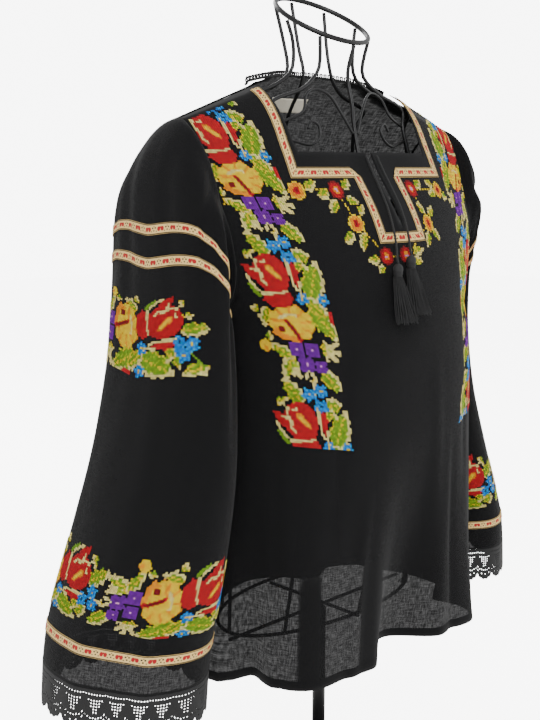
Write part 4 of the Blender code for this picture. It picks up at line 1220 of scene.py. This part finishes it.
def round_marks(which, rows, v, at, way, first, last, pitch=ROUND_PITCH):
    """Angles of chart rows round a sleeve, with ROSE_ROW at one angle, and half the run."""
    phi = np.linspace(-1.5 * np.pi, 2.5 * np.pi, 4001)
    long = run_of(sleeve(which, rows, np.full_like(phi, v), phi))
    zero = np.interp(math.radians(at), phi, long)
    want = zero + way * (np.arange(first, last + 1) - ROSE_ROW) * pitch
    return np.interp(want, long, phi), long[-1] / 2


def front_leaves(cells, count):
    """Leaves and blue flowers close the front end of an upper panel."""
    ch = Chart(len(cells), CHART_W)
    ch.cells[:] = cells
    ch.cells[:count] = 0
    ch.leaf((20.5, count + 1.0), (17.0, 0.6), 7.4, 1)
    ch.leaf((13.0, count), (11.0, count - 5.5), 3.0, 1)
    ch.leaf((35.6, 1.2), (40.4, count - 1.0), 6.2, -1)
    ch.line([(30.0, 9.0), (35.5, 3.5)], GREEN, 0.7)
    ch.blue_flower(26.0, 8.6, 3.9)
    ch.blue_flower(31.0, 12.0, 4.0)
    ch.blue_flower(25.0, 14.6, 3.4, True)
    return ch.cells


def make_sleeve_flowers():
    """A ring of flowers above each cuff and a panel on each upper sleeve."""
    # sleeve, way of the chart, angles of the roses at the cuff and on the upper sleeve
    for (which, rows, word), way, cuff_at, upper_at in zip(SIDES, (-1, 1), (97.0, 116.0), (16.5, 30.0)):
        low, high = [sleeve_v(rows, h) for h in CUFF_FLOWERS]
        mid = (low + high) / 2
        _, around = round_marks(which, rows, mid, cuff_at, way, 0, 1)
        count = int(round(around / ROUND_PITCH))
        first = int(ROSE_ROW) - count // 2
        phis, _ = round_marks(which, rows, mid, cuff_at, way, first, first + count)
        phis[-1] = phis[0] + way * 2 * np.pi
        codes = REPEAT[np.arange(first, first + count) % CHART_H]
        sleeve_stitches("cuff_flowers_" + word, which, rows, codes, low, high, phis)
        low, high = [sleeve_v(rows, h) for h in UPPER_FLOWERS]
        before = 120
        phis, _ = round_marks(which, rows, (low + high) / 2, upper_at, way, -before, 140, UPPER_PITCH)
        deg = np.degrees(phis)
        shown = (deg > -112) & (deg < 69)
        kept = np.nonzero(shown[:-1] & shown[1:])[0]
        a, b = kept[0], kept[-1] + 1
        codes = REPEAT[(np.arange(a, b) - before) % CHART_H]
        if which < 0:
            codes = front_leaves(codes, before - a)
        sleeve_stitches("upper_flowers_" + word, which, rows, codes, low, high, phis[a:b + 1])


def make_cuff_lace():
    """Filet crochet with small squares, stepped points and a scalloped edge."""
    # o is an opening
    plan = ["########", "oooooooo", "########", "#oooooo#", "##oooo##", "##oooo##", "###oo###",
            "###oo###", "########", "oooooooo", "########", "#o#o#o#o", "########", "########"]
    cells = SCALLOPS * LACE_CELLS
    for which, rows, word in SIDES:
        around = (np.arange(cells)[:, None] + [0.0, 0.50]).ravel() / cells * 2 * np.pi
        down = (np.arange(len(plan))[:, None] + [0.0, 0.48]).ravel()
        down = np.append(down, len(plan)) / len(plan)
        phi, f = np.meshgrid(around, down)
        end = float(len(rows))
        top = sleeve(which, rows, np.full_like(phi, end), phi)
        before = sleeve(which, rows, np.full_like(phi, end - 0.5), phi)
        way = top - before
        way /= np.linalg.norm(way, axis=-1, keepdims=True)
        s = (phi / (2 * np.pi) * SCALLOPS) % 1.0
        arc = np.abs(np.sin(np.pi * s)) ** 0.7
        picot = 0.0016 * (np.abs(np.sin(4 * np.pi * s)) * (arc > 0.5))
        drop = (LACE_DROP * (0.80 + 0.19 * arc) + picot) * f
        p = top.copy()
        p[..., :2] += way[..., :2] * 0.55 * drop[..., None]
        p[..., 2] -= drop + 0.0003
        round_way = np.roll(p, -1, 1) - np.roll(p, 1, 1)
        down_way = np.gradient(p, axis=0)
        n = np.cross(round_way, down_way)
        n /= np.linalg.norm(n, axis=-1, keepdims=True)
        centre = p.mean((0, 1))
        if np.mean(np.sum(n * (p - centre), -1)) < 0:
            n = -n
        mask = np.ones((len(down) - 1, len(around)), bool)
        for r, line in enumerate(plan):
            for c, mark in enumerate(line):
                if mark == "o":
                    mask[2 * r + 1, 2 * (np.arange(SCALLOPS) * LACE_CELLS + c) + 1] = False
        lace = shell("crochet_cuff_" + word, p, n, -0.0005, 0.0005, LACE, mask, wrap=True)
        keep(lace, "cotton_lace", "cuff_lace_" + word)


def make_neck_edge():
    """A chain with small loops that stands on the back neck edge."""
    count = 44
    wide = NECK_X + 0.002
    x = np.linspace(-wide, wide, count * 10 + 1)
    h = np.where(np.abs(x) < NECK_X, back_neck_h(x / (1 + 0.007 / NECK_X)), shoulder_h(x) - 0.001)
    base = body_at(1, x, np.minimum(h, shoulder_h(x) - 0.004))
    y = np.maximum(base[:, 1], 0.004)
    foot = np.stack([x, y, HEM + h + 0.0010], -1)
    parts = [tube_arrays(foot[::4], 0.0014, 6)]
    turn = x / (2 * wide) * count
    loop = foot + np.stack([0.0011 * np.sin(4 * np.pi * turn), np.full_like(x, 0.0003),
                            0.0046 * np.abs(np.sin(np.pi * turn))], -1)
    parts.append(tube_arrays(loop, 0.00095, 5))
    verts, faces = join_arrays(parts)
    keep(add_mesh("crochet_neck_edge", verts, faces, LACE), "cotton_lace", "neck_lace")


def make_label():
    """A blank label inside the back neck."""
    gx, gh = np.meshgrid(np.linspace(-0.030, 0.030, 25), np.linspace(0.617, 0.633, 9))
    p = body_at(1, gx, gh)
    p[..., 1] -= 0.0024 + 0.0003 * np.sin(gx * 160)
    obj = shell("blank_neck_label", p, np.zeros_like(p) - [0, 1, 0], -0.0002, 0.0002, TAPE)
    keep(obj, "label_tape", "neck_label")


TIES = [
    # name, x at the neck, x at the tassel, height of the tassel top
    ("right", -0.0100, -0.0300, 0.452), ("left", 0.0080, -0.0085, 0.460),
]
CORD_R, TASSEL_LEN, TASSEL_STRANDS = 0.0013, 0.064, 72
TIE_TOP = 0.5635
# Angle from one loose strand to the next
STRAND_TURN = 2.39996


def make_ties():
    """Two twisted cords from the top of the slit, each with a tassel."""
    for word, start_x, end_x, top in TIES:
        route = []
        for f in np.arange(7) / 6:
            x = start_x + (end_x - start_x) * f ** 1.3
            q = body_at(-1, np.array(x), np.array(TIE_TOP + (top + 0.002 - TIE_TOP) * f))
            route.append(q + np.array([0, -0.0038 - 0.006 * f, 0.002]))
        route.append(np.array([route[-1][0], route[-1][1] - 0.0012, HEM + top + 0.0006]))
        line = smooth_route(route, 60)
        head = line[-1] - np.array([0, 0, 0.0009])
        # the cord runs on inside the head of its tassel
        line = np.vstack([line, [head - np.array([0, 0, 0.0012 * k]) for k in range(1, 9)]])
        long = float(np.linalg.norm(np.diff(line, axis=0), axis=1).sum())
        # three strands twisted into a cord
        fine = smooth_route(line, 200)
        way = np.gradient(fine, axis=0)
        way /= np.linalg.norm(way, axis=1, keepdims=True)
        one = np.cross(way, [0.0, 1.0, 0.0])
        one /= np.linalg.norm(one, axis=1, keepdims=True)
        two = np.cross(way, one)
        parts = []
        for number in range(3):
            turn = 2 * np.pi * (np.linspace(0, long, 200) / 0.0085 + number / 3)
            strand = fine + 0.00062 * (one * np.cos(turn)[:, None] + two * np.sin(turn)[:, None])
            parts.append(tube_arrays(strand, 0.00070, 6))
        cord = add_mesh("tie_cord_twisted_" + word, *join_arrays(parts), CORD)
        keep(cord, "cotton_cord", "tie_cord_" + word)
        profile = [(0.0012, 0.0), (0.0034, -0.0010), (0.0051, -0.0034), (0.0055, -0.0072),
                   (0.0043, -0.0095), (0.0041, -0.0112), (0.0050, -0.0140)]
        parts = [lathe(profile, 20, head)]
        # wrapped thread at the neck of the tassel
        ang = 2 * np.pi * np.arange(20) / 20
        for turn_no in range(3):
            ring = [0.0047 * np.cos(ang), 0.0047 * np.sin(ang), np.full(20, -0.0093 - 0.0010 * turn_no)]
            parts.append(tube_arrays(np.stack(ring, -1) + head, 0.0006, 5, True))
        # loose strands fan out over the cloth
        end = body_at(-1, np.array(head[0]), np.array(head[2] - HEM - TASSEL_LEN))
        forward = end[1] - 0.0115 - head[1]
        f = np.linspace(0, 1, 7)
        for number in range(TASSEL_STRANDS):
            a = number * STRAND_TURN
            r = 0.0050 * math.sqrt((number + 0.5) / TASSEL_STRANDS)
            drop = TASSEL_LEN - 0.0140 - 0.004 * RNG.random()
            x = r * math.cos(a) * (1 + 2.6 * f ** 0.8) + 0.0007 * np.sin(f * 7 + number) * f
            y = r * math.sin(a) * (1 + 0.7 * f) + forward * f
            parts.append(tube_arrays(head + np.stack([x, y, -0.0138 - drop * f], -1), 0.00048, 4))
        tassel = add_mesh("tassel_of_strands_" + word, *join_arrays(parts), CORD)
        keep(tassel, "cotton_cord", "tassel_" + word)


# Camera where the photo was taken
AZIMUTH, DISTANCE, FOCAL_PX = -47.0, 1.30, 1108.0
HORIZON_PX, AXIS_PX, EYE = 170.0, 322.0, HEM + 0.550
WIDTH_PX, HEIGHT_PX, SENSOR = 540, 720, 36.0
LAMP_AIM = (0, 0, 0.55)


def put_in_scene(name, data, where, look):
    """A camera or lamp at a place, looking one way."""
    obj = bpy.data.objects.new(name, data)
    obj.location = where
    obj.rotation_mode = "QUATERNION"
    obj.rotation_quaternion = look.to_track_quat("-Z", "Y")
    bpy.context.scene.collection.objects.link(obj)
    return obj


def make_camera():
    a = math.radians(AZIMUTH)
    pitch = math.atan((HEIGHT_PX / 2 - HORIZON_PX) / FOCAL_PX)
    yaw = math.atan((AXIS_PX - WIDTH_PX / 2) / FOCAL_PX)
    ahead = Vector((-math.sin(a), math.cos(a), 0))
    left = Vector((-math.cos(a), -math.sin(a), 0))
    flat = ahead * math.cos(yaw) + left * math.sin(yaw)
    data = bpy.data.cameras.new("camera")
    data.sensor_width = SENSOR
    data.lens = SENSOR * FOCAL_PX / HEIGHT_PX
    data.clip_start = 0.05
    spot = Vector((math.sin(a) * DISTANCE, -math.cos(a) * DISTANCE, EYE))
    look = flat * math.cos(pitch) + Vector((0, 0, -math.sin(pitch)))
    bpy.context.scene.camera = put_in_scene("camera", data, spot, look)


def make_lights():
    for name, where, size, power in (
        # name, place, size, watts
        ("key", (-1.7, -2.1, 2.5), 1.6, 80),
        ("fill", (2.2, -1.5, 1.6), 2.2, 22),
        ("back", (0.6, 2.4, 2.2), 1.6, 60),
    ):
        data = bpy.data.lights.new(name, "AREA")
        data.energy = power
        data.size = size
        put_in_scene(name, data, where, Vector(LAMP_AIM) - Vector(where))
    world = bpy.data.worlds.new("studio")
    world.use_nodes = True
    tree = world.node_tree
    # the backdrop itself is brighter than the light it gives
    fill(tree, tree.nodes["Background"], Color=(*linear("fbfbfb"), 1), Strength=for_camera(tree, 1.1, 8.0))
    bpy.context.scene.world = world


def make_floor():
    mat = plain_material("pale_floor", "f2f1ef", "f6f5f3", 0.9, 3, bump=0.0)
    tree = mat.node_tree
    # seen straight on, the floor is as bright as the backdrop
    fill(tree, tree.nodes["Principled BSDF"], Emission_Color=(*linear("f6f6f6"), 1),
         Emission_Strength=for_camera(tree, 0.25, 7.0))
    verts = [(-6, -6, 0), (6, -6, 0), (6, 6, 0), (-6, 6, 0)]
    floor = add_mesh("floor", np.array(verts, float), [np.array([[0, 1, 2, 3]])], mat, smooth=False,
                     clean=False)


make_body()
make_sleeves()
make_form()
make_neck_ribbon()
make_bands()
make_garland()
make_sleeve_flowers()
make_cuff_lace()
make_neck_edge()
make_label()
make_ties()
make_camera()
make_lights()
make_floor()
